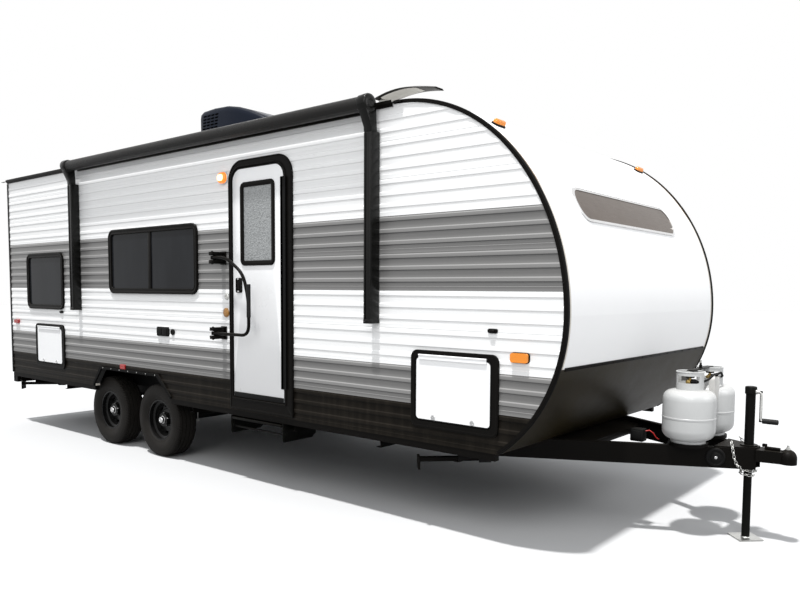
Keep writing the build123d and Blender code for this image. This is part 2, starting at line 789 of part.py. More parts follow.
# Leaf springs on top of the axle tubes, with hangers and the equaliser between them.
spring_radius = 900.0
spring_half = 330.0
with BuildPart() as leaf_springs:
    for hand in (-1, 1):
        for at in axle_places:
            with BuildSketch(side(hand * rail_offset + 22)):
                with BuildLine():
                    eye = rail_low - 22
                    sag = tyre_radius + 38.3
                    low = ThreePointArc((at - spring_half, eye - 8), (at, sag), (at + spring_half, eye - 8))
                    Line(low @ 1, (at + spring_half, eye + 4))
                    ThreePointArc((at + spring_half, eye + 4), (at, sag + 24), (at - spring_half, eye + 4))
                    Line((at - spring_half, eye + 4), low @ 0)
                make_face()
            extrude(amount=44)
        hangers = (axle_places[0] - spring_half - 8, axle_middle, axle_places[1] + spring_half + 8)
        for at in hangers:
            with BuildSketch(side(hand * rail_offset + 22)):
                with Locations((at, rail_low - 24)):
                    Rectangle(60 if at != axle_middle else 210, 47.6)
            extrude(amount=44)
leaf_springs.part.label = "leaf_springs"
export_step(leaf_springs.part, "parts/leaf_springs.step")

# Wheels: tyre, and steel rim with slotted disc, hub and drum.
# name part: (hand, axle)
wheels = {
    "right_rear": (-1, axle_places[0]),
    "right_front": (-1, axle_places[1]),
    "left_rear": (1, axle_places[0]),
    "left_front": (1, axle_places[1]),
}
bead = rim_radius + 0.3
lip = rim_radius + 13.0
crown_half = 74.0
bulge = tyre_width / 2
for place, (hand, at) in wheels.items():
    spin = Axis((at - middle_x, -middle_y, tyre_radius), (0, 1, 0))
    mid = hand * wheel_middle
    with BuildPart() as tyre:
        with BuildSketch(cross(at)):
            with BuildLine():
                Polyline(
                    (mid - 70, tyre_radius + lip),
                    (mid - 70, tyre_radius + bead),
                    (mid + 70, tyre_radius + bead),
                    (mid + 70, tyre_radius + lip),
                )
                ThreePointArc((mid + 70, tyre_radius + lip), (mid + bulge, tyre_radius + 252), (mid + crown_half + 16, tyre_radius + 318))
                ThreePointArc((mid + crown_half + 16, tyre_radius + 318), (mid + crown_half + 9, tyre_radius + 326), (mid + crown_half, tyre_radius + tyre_radius - 1.5))
                ThreePointArc((mid + crown_half, tyre_radius + tyre_radius - 1.5), (mid, tyre_radius + tyre_radius), (mid - crown_half, tyre_radius + tyre_radius - 1.5))
                ThreePointArc((mid - crown_half, tyre_radius + tyre_radius - 1.5), (mid - crown_half - 9, tyre_radius + 326), (mid - crown_half - 16, tyre_radius + 318))
                ThreePointArc((mid - crown_half - 16, tyre_radius + 318), (mid - bulge, tyre_radius + 252), (mid - 70, tyre_radius + lip))
            make_face()
        revolve(axis=spin)
    tyre.part.label = f"tyre_{place}"
    export_step(tyre.part, f"parts/tyre_{place}.step")

    with BuildPart() as rim:
        with BuildSketch(cross(at)):
            with BuildLine():
                Polyline(
                    (mid - 76, tyre_radius + rim_radius + 12),
                    (mid - 71, tyre_radius + rim_radius + 12),
                    (mid - 71, tyre_radius + rim_radius),
                    (mid - 38, tyre_radius + rim_radius),
                    (mid - 28, tyre_radius + rim_radius - 20),
                    (mid + 28, tyre_radius + rim_radius - 20),
                    (mid + 38, tyre_radius + rim_radius),
                    (mid + 71, tyre_radius + rim_radius),
                    (mid + 71, tyre_radius + rim_radius + 12),
                    (mid + 76, tyre_radius + rim_radius + 12),
                    (mid + 76, tyre_radius + rim_radius - 5),
                    (mid + 40, tyre_radius + rim_radius - 5),
                    (mid + 30, tyre_radius + rim_radius - 25),
                    (mid - 30, tyre_radius + rim_radius - 25),
                    (mid - 40, tyre_radius + rim_radius - 5),
                    (mid - 76, tyre_radius + rim_radius - 5),
                    close=True,
                )
            make_face()
        revolve(axis=spin)
        with BuildSketch(side(mid)):
            with Locations((at, tyre_radius)):
                Circle(rim_radius - 24)
        extrude(amount=6, both=True)
        with BuildSketch(side(mid)):
            with Locations((at, tyre_radius)):
                with PolarLocations(118, 8):
                    SlotOverall(58, 22, rotation=90)
        extrude(amount=10, both=True, mode=Mode.SUBTRACT)
        with BuildSketch(side(mid - hand * 60)):
            with Locations((at, tyre_radius)):
                Circle(125)
        extrude(amount=-hand * 44)
        with BuildSketch(side(mid - hand * 60)):
            with Locations((at, tyre_radius)):
                Circle(62)
        extrude(amount=-hand * 104)
        with BuildSketch(side(mid - hand * 62)):
            with Locations((at, tyre_radius)):
                Circle(spindle_radius + 0.06)
        extrude(amount=-hand * 88, mode=Mode.SUBTRACT)
        with BuildSketch(side(mid + hand * 5)):
            with Locations((at, tyre_radius)):
                with PolarLocations(57.15, 5, start_angle=90):
                    Circle(10)
        extrude(amount=-hand * 28)
    rim.part.label = f"rim_{place}"
    export_step(rim.part, f"parts/rim_{place}.step")

# ---------------------------------------------------------------- awning
awning_ends = (1508.0, 5549.0)
roller_z = roof_edge - 8
arm_width = 70.0
arm_places = (1470.0, 5503.0)
arm_low = 1312.0
with BuildPart() as awning_roller:
    with BuildSketch(cross(awning_ends[0] + 0.3)):
        with Locations((-awning_y, roller_z)):
            Circle(awning_radius)
    extrude(amount=arm_places[1] - 38.3 - awning_ends[0] - 0.3)
awning_roller.part.label = "awning_roller"
export_step(awning_roller.part, "parts/awning_roller.step")

with BuildPart() as awning_arms:
    for at in arm_places:
        with BuildSketch(plan(arm_low)):
            with Locations((at, -(half + 58))):
                Rectangle(arm_width, 44)
        extrude(amount=roller_z - arm_low)
        with BuildSketch(plan(arm_low)):
            with Locations((at, -(half + 21))):
                Rectangle(arm_width - 20, 30)
        extrude(amount=roller_z - 60 - arm_low)
        with BuildSketch(cross(at - 38)):
            with Locations((-awning_y, roller_z)):
                Circle(awning_cap)
            with Locations((-(awning_y - 36), roller_z - 60)):
                Rectangle(60, 120)
        extrude(amount=76)
        for low in (arm_low + 6, roller_z - 190):
            with BuildSketch(plan(low)):
                with Locations((at, -(half + 8.2))):
                    Rectangle(arm_width + 20, 16)
            extrude(amount=90)
awning_arms.part.label = "awning_arms"
export_step(awning_arms.part, "parts/awning_arms.step")

# ---------------------------------------------------------------- roof equipment
unit_rear = 2372.0
unit_front = 3440.0
unit_half = 350.0
unit_top = 3270.0
unit_base = roof_edge + roof_lip + roof_crown + 2
with BuildPart() as roof_air_unit:
    with BuildSketch(side(unit_half)):
        with BuildLine():
            Line((unit_rear, unit_base), (unit_rear, unit_top - 36))
            ThreePointArc((unit_rear, unit_top - 36), (unit_rear + 320, unit_top), (unit_rear + 680, unit_top - 36))
            Line((unit_rear + 680, unit_top - 36), (unit_front, unit_base + 120))
            Line((unit_front, unit_base + 120), (unit_front, unit_base))
            Line((unit_front, unit_base), (unit_rear, unit_base))
        make_face()
    extrude(amount=2 * unit_half)
    with BuildSketch(plan(unit_base - 16)):
        with Locations(((unit_rear + unit_front) / 2, 0)):
            Rectangle(900, 600)
    extrude(amount=16)
    add(roof_panel.part, mode=Mode.SUBTRACT)
roof_air_unit.part.label = "roof_air_unit"
export_step(roof_air_unit.part, "parts/roof_air_unit.step")

# Roof vents (curbs only), plumbing caps and the folded aerial: name: (x, y)
vent_places = {"vent_lid_rear": (1150.0, 0.0), "vent_lid_front": (4560.0, 0.0)}
vent_size = 410.0
curb_height = 50.0
crest = roof_edge + roof_lip + roof_crown
aerial_x = 5000.0
aerial_y = -600.0
aerial_z = 2955.0
with BuildPart() as roof_fittings:
    for at, off in vent_places.values():
        with BuildSketch(plan(crest - 14)):
            with Locations((at, off)):
                Rectangle(vent_size, vent_size)
                Rectangle(vent_size - 50, vent_size - 50, mode=Mode.SUBTRACT)
        extrude(amount=curb_height)
    with BuildSketch(plan(crest - 60)):
        with Locations((aerial_x, aerial_y)):
            Circle(60)
    extrude(amount=aerial_z - crest + 60)
    with BuildSketch(cross(aerial_x - 20)):
        with Locations((aerial_y, aerial_z + 6)):
            Rectangle(330, 12)
    extrude(amount=540)
    add(roof_panel.part, mode=Mode.SUBTRACT)
roof_fittings.part.label = "roof_fittings"
export_step(roof_fittings.part, "parts/roof_fittings.step")

# Vent lids, each on a hinge along its rear edge.
lid_z = crest - 14 + curb_height + 0.3
lid_size = vent_size + 20
lid_hinge = (-lid_size / 2 - 5, 4.0)
for name, (at, off) in vent_places.items():
    with BuildPart() as vent_lid:
        with BuildSketch(plan(lid_z)):
            with Locations((at, off)):
                Rectangle(lid_size, lid_size)
        extrude(amount=40, taper=20)
        with BuildSketch(side(off)):
            with Locations((at + lid_hinge[0], lid_z + lid_hinge[1])):
                Circle(4)
            with Locations((at + lid_hinge[0] + 6, lid_z + 2)):
                Rectangle(12, 4)
        extrude(amount=lid_size / 3, both=True)
    vent_lid.part.label = name
    export_step(vent_lid.part, f"parts/{name}.step")

# ---------------------------------------------------------------- entry step
step_ends = (4010.0, 4632.0)
step_low = 425.0
shaft_y = -(half - 29)
shaft_z = 441.0
plate_deep = 330.0
with BuildPart() as step_frame:
    for at in (step_ends[0], step_ends[1] - 6):
        with BuildSketch(cross(at)):
            with BuildLine():
                Polyline(
                    (-half, frame_top - sill_height - 0.3),
                    (-half + plate_deep, frame_top - sill_height - 0.3),
                    (-half + plate_deep, frame_top - sill_height - 30),
                    (-half + 60, step_low),
                    (-half + 8, step_low),
                    (-half, step_low + 30),
                    close=True,
                )
            make_face()
            with Locations((shaft_y, shaft_z)):
                Circle(9, mode=Mode.SUBTRACT)
        extrude(amount=6)
    with BuildSketch(cross(step_ends[0])):
        with Locations((-half + plate_deep - 20, frame_top - sill_height - 12)):
            Rectangle(30, 12)
    extrude(amount=step_ends[1] - step_ends[0])
step_frame.part.label = "step_frame"
export_step(step_frame.part, "parts/step_frame.step")

with BuildPart() as step_tread:
    with BuildSketch(cross(step_ends[0] - 4)):
        with Locations((shaft_y, shaft_z)):
            Circle(8)
    extrude(amount=step_ends[1] - step_ends[0] + 8)
    for at in (step_ends[0] + 12, step_ends[1] - 18):
        with BuildSketch(cross(at)):
            with BuildLine():
                Polyline(
                    (shaft_y - 9, shaft_z - 9),
                    (shaft_y - 9, 506),
                    (shaft_y + 250, 506),
                    (shaft_y + 250, 494),
                    (shaft_y + 9, shaft_z - 9),
                    close=True,
                )
            make_face()
        extrude(amount=6)
    with BuildSketch(cross(step_ends[0] + 12)):
        with Locations((shaft_y + 120, 510)):
            Rectangle(270, 8)
    extrude(amount=step_ends[1] - step_ends[0] - 24)
step_tread.part.label = "step_tread"
export_step(step_tread.part, "parts/step_tread.step")

# ---------------------------------------------------------------- stabilizers
# corner: (hand, pivot x); each leg lies level and points outwards and to the rear
stabilizer_places = {
    "front_right": (-1, 6180.0),
    "front_left": (1, 6180.0),
    "rear_right": (-1, 430.0),
    "rear_left": (1, 430.0),
}
pivot_offset = 860.0
pivot_z = 446.0
leg_length = 438.0
leg_width = 44.0
with BuildPart() as stabilizer_brackets:
    for hand, at in stabilizer_places.values():
        lean = Plane(
            origin=(at - middle_x, hand * pivot_offset - middle_y, 0),
            x_dir=(-half_turn, hand * half_turn, 0),
            z_dir=(0, 0, 1),
        )
        with BuildSketch(lean.offset(474)):
            Rectangle(110, 84)
        extrude(amount=-6)
        for edge in (-1, 1):
            with BuildSketch(lean.offset(468)):
                with Locations((0, edge * 33)):
                    Rectangle(80, 6)
            extrude(amount=-44)
        with BuildSketch(Plane(origin=lean.from_local_coords((0, 0, pivot_z)), x_dir=lean.x_dir, z_dir=lean.y_dir)):
            Circle(7)
        extrude(amount=36, both=True)
stabilizer_brackets.part.label = "stabilizer_brackets"
export_step(stabilizer_brackets.part, "parts/stabilizer_brackets.step")

for place, (hand, at) in stabilizer_places.items():
    lean = Plane(
        origin=(at - middle_x, hand * pivot_offset - middle_y, 0),
        x_dir=(-half_turn, hand * half_turn, 0),
        z_dir=(0, 0, 1),
    )
    upright = Plane(origin=lean.from_local_coords((0, 0, pivot_z)), x_dir=lean.x_dir, z_dir=lean.y_dir)
    with BuildPart() as stabilizer:
        with BuildSketch(upright):
            with Locations((leg_length / 2 - 9, 0)):
                Rectangle(leg_length - 18, 26)
            Circle(13)
            Circle(7.06, mode=Mode.SUBTRACT)
        extrude(amount=leg_width / 2, both=True)
        with BuildSketch(lean.offset(pivot_z - 60)):
            with Locations((leg_length - 12, 0)):
                Rectangle(14, 90)
        extrude(amount=82)
    stabilizer.part.label = f"stabilizer_{place}"
    export_step(stabilizer.part, f"parts/stabilizer_{place}.step")

# ---------------------------------------------------------------- rear bumper and lamps
with BuildPart() as rear_bumper:
    with BuildSketch(side(half - 60)):
        with Locations((rear_tip + 51, 500)):
            RectangleRounded(102, 102, 8)
    extrude(amount=2 * (half - 60))
    for hand in (-1, 1):
        with BuildSketch(side(hand * rail_offset + 40)):
            with Locations((3.4, 500)):
                Rectangle(32.8, 80)
        extrude(amount=80)
rear_bumper.part.label = "rear_bumper"
export_step(rear_bumper.part, "parts/rear_bumper.step")

# Amber lamps: side markers and the two clearance lamps on the brow.
brow_turn = asin(min(1.0, (6365.0 - shoulder_x) / brow_radius))
with BuildPart() as amber_lamps:
    for hand in (-1, 1):
        with BuildSketch(side(hand * half)):
            with Locations((6655, 1148)):
                RectangleRounded(112, 54, 14)
        extrude(amount=-hand * 24)
amber_lamps.part.label = "amber_lamps"
export_step(amber_lamps.part, "parts/amber_lamps.step")

with BuildPart() as red_lamps:
    for hand in (-1, 1):
        with BuildSketch(side(hand * (wall_out + skin_base + seat))):
            with Locations((165, 1150)):
                RectangleRounded(100, 38, 10)
        extrude(amount=-hand * 24)
        with BuildSketch(Plane(origin=(0 - middle_x, hand * 1000 - middle_y, 1000), x_dir=(0, 1, 0), z_dir=(-1, 0, 0))):
            RectangleRounded(160, 110, 14)
        extrude(amount=26)
red_lamps.part.label = "red_lamps"
export_step(red_lamps.part, "parts/red_lamps.step")

# ---------------------------------------------------------------- doors and hatches
leaf_face = half + 11
leaf_thick = 40.0
door_window = (4171.0, 4568.0, 1702.0, 2329.0)
hinge_radius = 5.7
hinge_start = 105.0
door_hinge = (4690.0, -(frame_face + hinge_radius + 0.3))
rear, front, low, high = door_leaf
with BuildPart() as entry_door:
    with BuildSketch(side(-(leaf_face - leaf_thick))):
        with Locations(((rear + front) / 2, (low + high) / 2)):
            RectangleRounded(front - rear, high - low, 100)
        with Locations(((door_window[0] + door_window[1]) / 2, (door_window[2] + door_window[3]) / 2)):
            RectangleRounded(door_window[1] - door_window[0] - 50, door_window[3] - door_window[2] - 50, 30, mode=Mode.SUBTRACT)
    extrude(amount=leaf_thick)
    with BuildSketch(side(-leaf_face)):
        with Locations(((door_window[0] + door_window[1]) / 2, (door_window[2] + door_window[3]) / 2)):
            RectangleRounded(door_window[1] - door_window[0], door_window[3] - door_window[2], 45)
            RectangleRounded(door_window[1] - door_window[0] - 74, door_window[3] - door_window[2] - 74, 24, mode=Mode.SUBTRACT)
    extrude(amount=8)
    with BuildSketch(side(-leaf_face)):
        with Locations((4120, 1555)):
            RectangleRounded(56, 150, 12)
    extrude(amount=14)
    with BuildSketch(plan(low + hinge_start)):
        with Locations(door_hinge):
            Circle(hinge_radius)
        with BuildLine():
            Polyline(
                (front - 16, -leaf_face),
                (front - 16, door_hinge[1] - 2),
                (door_hinge[0], door_hinge[1] - 2),
                (door_hinge[0], door_hinge[1] + 1),
                (front - 2, door_hinge[1] + 1),
                (front - 2, -leaf_face),
                close=True,
            )
        make_face()
    extrude(amount=high - low - 2 * hinge_start)
entry_door.part.label = "entry_door"
export_step(entry_door.part, "parts/entry_door.step")

with BuildPart() as door_glass:
    with BuildSketch(side(-(leaf_face - 6))):
        with Locations(((door_window[0] + door_window[1]) / 2, (door_window[2] + door_window[3]) / 2)):
            RectangleRounded(door_window[1] - door_window[0] - 51, door_window[3] - door_window[2] - 51, 29)
    extrude(amount=5.7)
door_glass.part.label = "door_glass"
export_step(door_glass.part, "parts/door_glass.step")

# Grab handle: folds across the door from two brackets on the wall behind it.
handle_x = 3932.0
handle_y = -(half + 106)
handle_reach = 430.0
handle_rows = (1177.0, 1765.0)
handle_radius = 12.5
with BuildPart() as grab_brackets:
    for at in handle_rows:
        with BuildSketch(plan(at - 28)):
            with BuildLine():
                Polyline(
                    (handle_x - 30, -half),
                    (handle_x + 50, -half),
                    (handle_x + 22, handle_y - 4),
                    (handle_x - 22, handle_y - 4),
                    close=True,
                )
            make_face()
        extrude(amount=8)
        with BuildSketch(plan(at + 20)):
            with BuildLine():
                Polyline(
                    (handle_x - 30, -half),
                    (handle_x + 50, -half),
                    (handle_x + 22, handle_y - 4),
                    (handle_x - 22, handle_y - 4),
                    close=True,
                )
            make_face()
        extrude(amount=8)
        with BuildSketch(plan(at - 28)):
            with Locations((handle_x, handle_y + 2)):
                Circle(6)
        extrude(amount=56)
        with BuildSketch(side(-half)):
            with Locations((handle_x + 10, at)):
                Rectangle(84, 56)
        extrude(amount=6)
grab_brackets.part.label = "grab_brackets"
export_step(grab_brackets.part, "parts/grab_brackets.step")

with BuildPart() as grab_handle:
    with BuildSketch(side(handle_y + 2)):
        with BuildLine():
            Polyline(
                (handle_x, handle_rows[0]),
                (handle_x + handle_reach, handle_rows[0]),
                (handle_x + handle_reach, handle_rows[1]),
                (handle_x, handle_rows[1]),
            )
            offset(amount=handle_radius, side=Side.BOTH)
        make_face()
    extrude(amount=handle_radius, both=True)
    for at in handle_rows:
        with BuildSketch(plan(at - handle_radius - 2)):
            with Locations((handle_x, handle_y + 2)):
                Circle(14)
        extrude(amount=2 * handle_radius + 4)
        with BuildSketch(plan(at - handle_radius - 4)):
            with Locations((handle_x, handle_y + 2)):
                Circle(6.06)
        extrude(amount=2 * handle_radius + 8, mode=Mode.SUBTRACT)
grab_handle.part.label = "grab_handle"
export_step(grab_handle.part, "parts/grab_handle.step")

for name, (hand, hole) in hatches.items():
    leaf = (hole[0] + 19, hole[1] - 31, hole[2] + 28, hole[3] - 22, 30.0)
    hinge_y = hand * (half + 12 + hinge_radius + 0.3)
    hinge_z = leaf[3] + 10
    with BuildPart() as hatch:
        with BuildSketch(side(hand * (half - 14))):
            add(hole_sketch(leaf))
        extrude(amount=-hand * 24)
        with BuildSketch(cross(leaf[0] + 30)):
            with Locations((hinge_y, hinge_z)):
                Circle(hinge_radius)
            with BuildLine():
                Polyline(
                    (hand * (half + 10), leaf[3] - 16),
                    (hinge_y + hand * 2, leaf[3] - 16),
                    (hinge_y + hand * 2, hinge_z),
                    (hinge_y - hand * 1, hinge_z),
                    (hinge_y - hand * 1, leaf[3] - 2),
                    (hand * (half + 10), leaf[3] - 2),
                    close=True,
                )
            make_face()
        extrude(amount=leaf[1] - leaf[0] - 60)
    hatch.part.label = name
    export_step(hatch.part, f"parts/{name}.step")
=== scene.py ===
"""Looks for the travel caravan: finishes, tyres, small hardware, lamps and the studio around the CAD frame."""

import logging
from dataclasses import dataclass
from enum import Enum
from math import asin, cos, hypot, pi, radians, sin, sqrt

import bmesh
import bpy
from mathutils import Matrix, Vector


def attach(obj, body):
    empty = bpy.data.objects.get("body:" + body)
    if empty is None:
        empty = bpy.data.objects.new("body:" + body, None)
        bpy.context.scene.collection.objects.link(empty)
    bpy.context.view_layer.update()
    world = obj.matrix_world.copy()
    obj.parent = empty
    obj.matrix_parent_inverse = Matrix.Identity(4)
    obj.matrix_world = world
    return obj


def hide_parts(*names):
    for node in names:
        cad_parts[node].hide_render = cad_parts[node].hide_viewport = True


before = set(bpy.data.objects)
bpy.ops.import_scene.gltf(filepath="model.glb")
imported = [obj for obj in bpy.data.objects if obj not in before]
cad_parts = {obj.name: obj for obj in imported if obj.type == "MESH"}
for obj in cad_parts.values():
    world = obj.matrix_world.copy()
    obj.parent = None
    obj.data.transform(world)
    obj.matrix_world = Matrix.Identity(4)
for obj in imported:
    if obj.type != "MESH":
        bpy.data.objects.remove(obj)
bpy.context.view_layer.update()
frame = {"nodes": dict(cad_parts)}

log = logging.getLogger("caravan")

Colour = tuple[float, float, float]
Point = Vector | tuple[float, float, float]
Points = list[tuple[float, float]]

# --- Body coordinates: millimetres, x forward from the rear wall, y to the left, z up from the ground ---
MIDDLE = Vector((3860.5, -66.0, 0.0))  # the frame's origin
HALF = 1219.0  # half of the body's width over the siding
BODY_BOTTOM = 574.0
PANEL = 236.8  # height of one siding panel
ROOF_EDGE = BODY_BOTTOM + 9 * PANEL
SHOULDER_X = 5701.0  # where the roof turns into the nose
BROW = (5701.0, 1524.9, 1180.3)  # each arc of the nose: its centre's x and z, and its radius
NOSE = (5564.1, 1388.0, 1373.9)
CHIN = (5953.0, 1388.0, 985.0)
BROW_END = 2359.5  # height at which the brow's arc meets the nose's
AXLES = (1950.0, 2810.0)
RAIL_Y = 765.0
SIDES = (-1, 1)  # the door side and the other side
UPWARD = (0, 0, 1)
FORWARD = (1, 0, 0)


def metres(point: Point) -> Vector:
    """Gives a point of the body, in millimetres, as a point of the frame, in metres."""
    return (Vector(point) - MIDDLE) / 1000


def nose_x(height: float, proud: float = 0.0) -> float:
    """Gives how far forward the nose reaches at a height.

    Args:
        height: Height above the ground in millimetres.
        proud: Distance that the wanted surface stands off the skin.

    Returns:
        The x of that surface in body millimetres.
    """
    if height > BROW_END:
        x, z, radius = BROW
    elif height > NOSE[1]:
        x, z, radius = NOSE
    else:
        x, z, radius = CHIN
    return x + sqrt((radius + proud) ** 2 - (height - z) ** 2)


def nose_lean(height: float) -> float:
    """Gives the angle by which the nose's outward side looks up at a height, in radians."""
    _, z, radius = BROW if height > BROW_END else NOSE if height > NOSE[1] else CHIN
    return asin((height - z) / radius)


def roof_lift(y: float, crown: float = 160.0) -> float:
    """Gives how far the roof's surface rises above its edge at a place across the body."""
    return crown * (1 - (y / 1213) ** 2)


def crossing(axis: Point) -> tuple[Vector, Vector, Vector]:
    """Gives an axis's direction and two directions square to it and to each other."""
    along = Vector(axis).normalized()
    first = along.orthogonal().normalized()
    return along, first, along.cross(first)


def circle(middle: Vector, first: Vector, second: Vector, radius: float, count: int) -> list[Vector]:
    """Gives the points of a circle about a middle, in the plane of two directions."""
    turns = [2 * pi * index / count for index in range(count)]
    return [middle + (first * cos(turn) + second * sin(turn)) * radius for turn in turns]


# ---------------------------------------------------------------- shader graphs
class Value:
    """A shader socket that takes part in written sums."""

    def __init__(self, graph: "Graph", socket: bpy.types.NodeSocket) -> None:
        """Wraps one output socket of a graph."""
        self.graph = graph
        self.socket = socket

    def _math(self, operation: str, first: "Value | float", second: "Value | float") -> "Value":
        """Adds one Math node of two values."""
        return self.graph.node("ShaderNodeMath", {"operation": operation}, {0: first, 1: second})

    def __add__(self, other: "Value | float") -> "Value":
        """Adds."""
        return self._math("ADD", self, other)

    def __sub__(self, other: "Value | float") -> "Value":
        """Subtracts."""
        return self._math("SUBTRACT", self, other)

    def __rsub__(self, other: float) -> "Value":
        """Subtracts from a number."""
        return self._math("SUBTRACT", other, self)

    def __mul__(self, other: "Value | float") -> "Value":
        """Multiplies."""
        return self._math("MULTIPLY", self, other)

    def wave(self) -> "Value":
        """Gives the sine."""
        return self.graph.node("ShaderNodeMath", {"operation": "SINE"}, {0: self})

    def clamp(self) -> "Value":
        """Keeps the value from 0 to 1."""
        return self.graph.node("ShaderNodeClamp", {}, {"Value": self})


class Graph:
    """The node tree of one finish."""

    def __init__(self, name: str) -> None:
        """Makes an empty material with one surface shader."""
        self.material = bpy.data.materials.new(name)
        self.material.use_nodes = True
        self.tree = self.material.node_tree
        self.tree.nodes.clear()
        self.shader = self.tree.nodes.new("ShaderNodeBsdfPrincipled")
        output = self.tree.nodes.new("ShaderNodeOutputMaterial")
        self.tree.links.new(self.shader.outputs[0], output.inputs[0])

    def node(
        self, kind: str, settings: dict | None = None, inputs: dict | None = None, output: str | int = 0
    ) -> Value:
        """Adds any node.

        Args:
            kind: The node's type.
            settings: What is set first, such as an operation.
            inputs: Values or links by the socket's name or place.
            output: The socket that is wanted.

        Returns:
            The wanted output as a value.
        """
        made = self.tree.nodes.new(kind)
        for key, setting in (settings or {}).items():
            setattr(made, key, setting)
        for key, given in (inputs or {}).items():
            self.feed(made.inputs[key], given)
        return Value(self, made.outputs[output])

    def feed(self, socket: bpy.types.NodeSocket, given: "Value | float | Colour") -> None:
        """Links a value to a socket, or sets a number or colour on it."""
        if isinstance(given, Value):
            self.tree.links.new(given.socket, socket)
        elif isinstance(given, tuple) and len(given) == 3 and socket.type == "RGBA":
            socket.default_value = (*given, 1.0)
        else:
            socket.default_value = given

    def place(self, stretch: Colour = (1.0, 1.0, 1.0)) -> Value:
        """Gives the place on the piece in metres, stretched by axis."""
        spot = self.node("ShaderNodeTexCoord", {}, {}, "Object")
        return self.node("ShaderNodeVectorMath", {"operation": "MULTIPLY"}, {0: spot, 1: stretch})

    def axis(self, spot: Value, letter: str) -> Value:
        """Gives one coordinate of a place, named X, Y or Z."""
        return self.node("ShaderNodeSeparateXYZ", {}, {0: spot}, letter)

    def facing(self, letter: str) -> Value:
        """Gives one part of the surface's direction, named X, Y or Z."""
        return self.axis(self.node("ShaderNodeNewGeometry", {}, {}, "Normal"), letter)

    def noise(self, spot: Value, scale: float, detail: float = 2.0, roughness: float = 0.5) -> Value:
        """Gives soft noise from 0 to 1 at a scale per metre."""
        return self.node(
            "ShaderNodeTexNoise", {}, {"Vector": spot, "Scale": scale, "Detail": detail, "Roughness": roughness}
        )

    def cells(self, spot: Value, scale: float) -> Value:
        """Gives the distance to the nearest of scattered points."""
        return self.node("ShaderNodeTexVoronoi", {}, {"Vector": spot, "Scale": scale})

    def mix(self, share: "Value | float", first: "Value | Colour", second: "Value | Colour") -> Value:
        """Mixes two colours by a share of the second."""
        return self.node("ShaderNodeMix", {"data_type": "RGBA"}, {0: share, 6: first, 7: second}, 2)

    def bump(self, height: Value, distance: float, strength: float = 1.0) -> Value:
        """Gives the normal of a surface raised by a height times a distance in metres."""
        return self.node("ShaderNodeBump", {}, {"Height": height, "Distance": distance, "Strength": strength})

    def surface(self, **sockets: "Value | float | Colour") -> bpy.types.Material:
        """Feeds the surface shader, its sockets named with underscores, and gives the material."""
        for name, given in sockets.items():
            self.feed(self.shader.inputs[name.replace("_", " ")], given)
        return self.material


def shaded(colour: Colour, share: float) -> Colour:
    """Gives a colour made lighter or darker by a share."""
    return tuple(min(1.0, channel * share) for channel in colour)


DUST: Colour = (0.30, 0.26, 0.21)
ROAD_FILM: Colour = (0.06, 0.048, 0.022)


@dataclass(frozen=True)
class Finish:
    """A finish by name, and the slot that it stands for."""

    name: str
    slot: str

    def material(self) -> bpy.types.Material:
        """Gives the finish's material, made the first time it is asked for."""
        found = bpy.data.materials.get(self.name)
        return found if found else self.draw(Graph(self.name))

    def draw(self, graph: Graph) -> bpy.types.Material:
        """Draws the finish; each kind has its own."""
        raise NotImplementedError


@dataclass(frozen=True)
class Paint(Finish):
    """Paint, powder coat or moulded plastic with grain, mottling and settled dust."""

    colour: Colour
    roughness: float = 0.42
    coat: float = 0.0
    grain: float = 420.0
    depth: float = 0.0003
    mottle: float = 0.10
    dust: float = 0.15
    shine: float = 0.5

    def draw(self, graph: Graph) -> bpy.types.Material:
        """Draws grain, mottling and dust."""
        spot = graph.place()
        broad = graph.noise(spot, 3.1, 4.0, 0.6)
        fine = graph.noise(spot, self.grain, 2.0)
        tone = graph.mix(broad, shaded(self.colour, 1 - self.mottle), shaded(self.colour, 1 + self.mottle))
        settled = ((graph.facing("Z") - 0.35) * broad * 2.4).clamp() * self.dust
        return graph.surface(
            Base_Color=graph.mix(settled, tone, DUST),
            Roughness=(broad - 0.5) * 0.16 + self.roughness + settled * 0.5,
            Specular_IOR_Level=self.shine,
            Coat_Weight=self.coat,
            Coat_Roughness=0.12,
            Normal=graph.bump(fine, self.depth),
        )


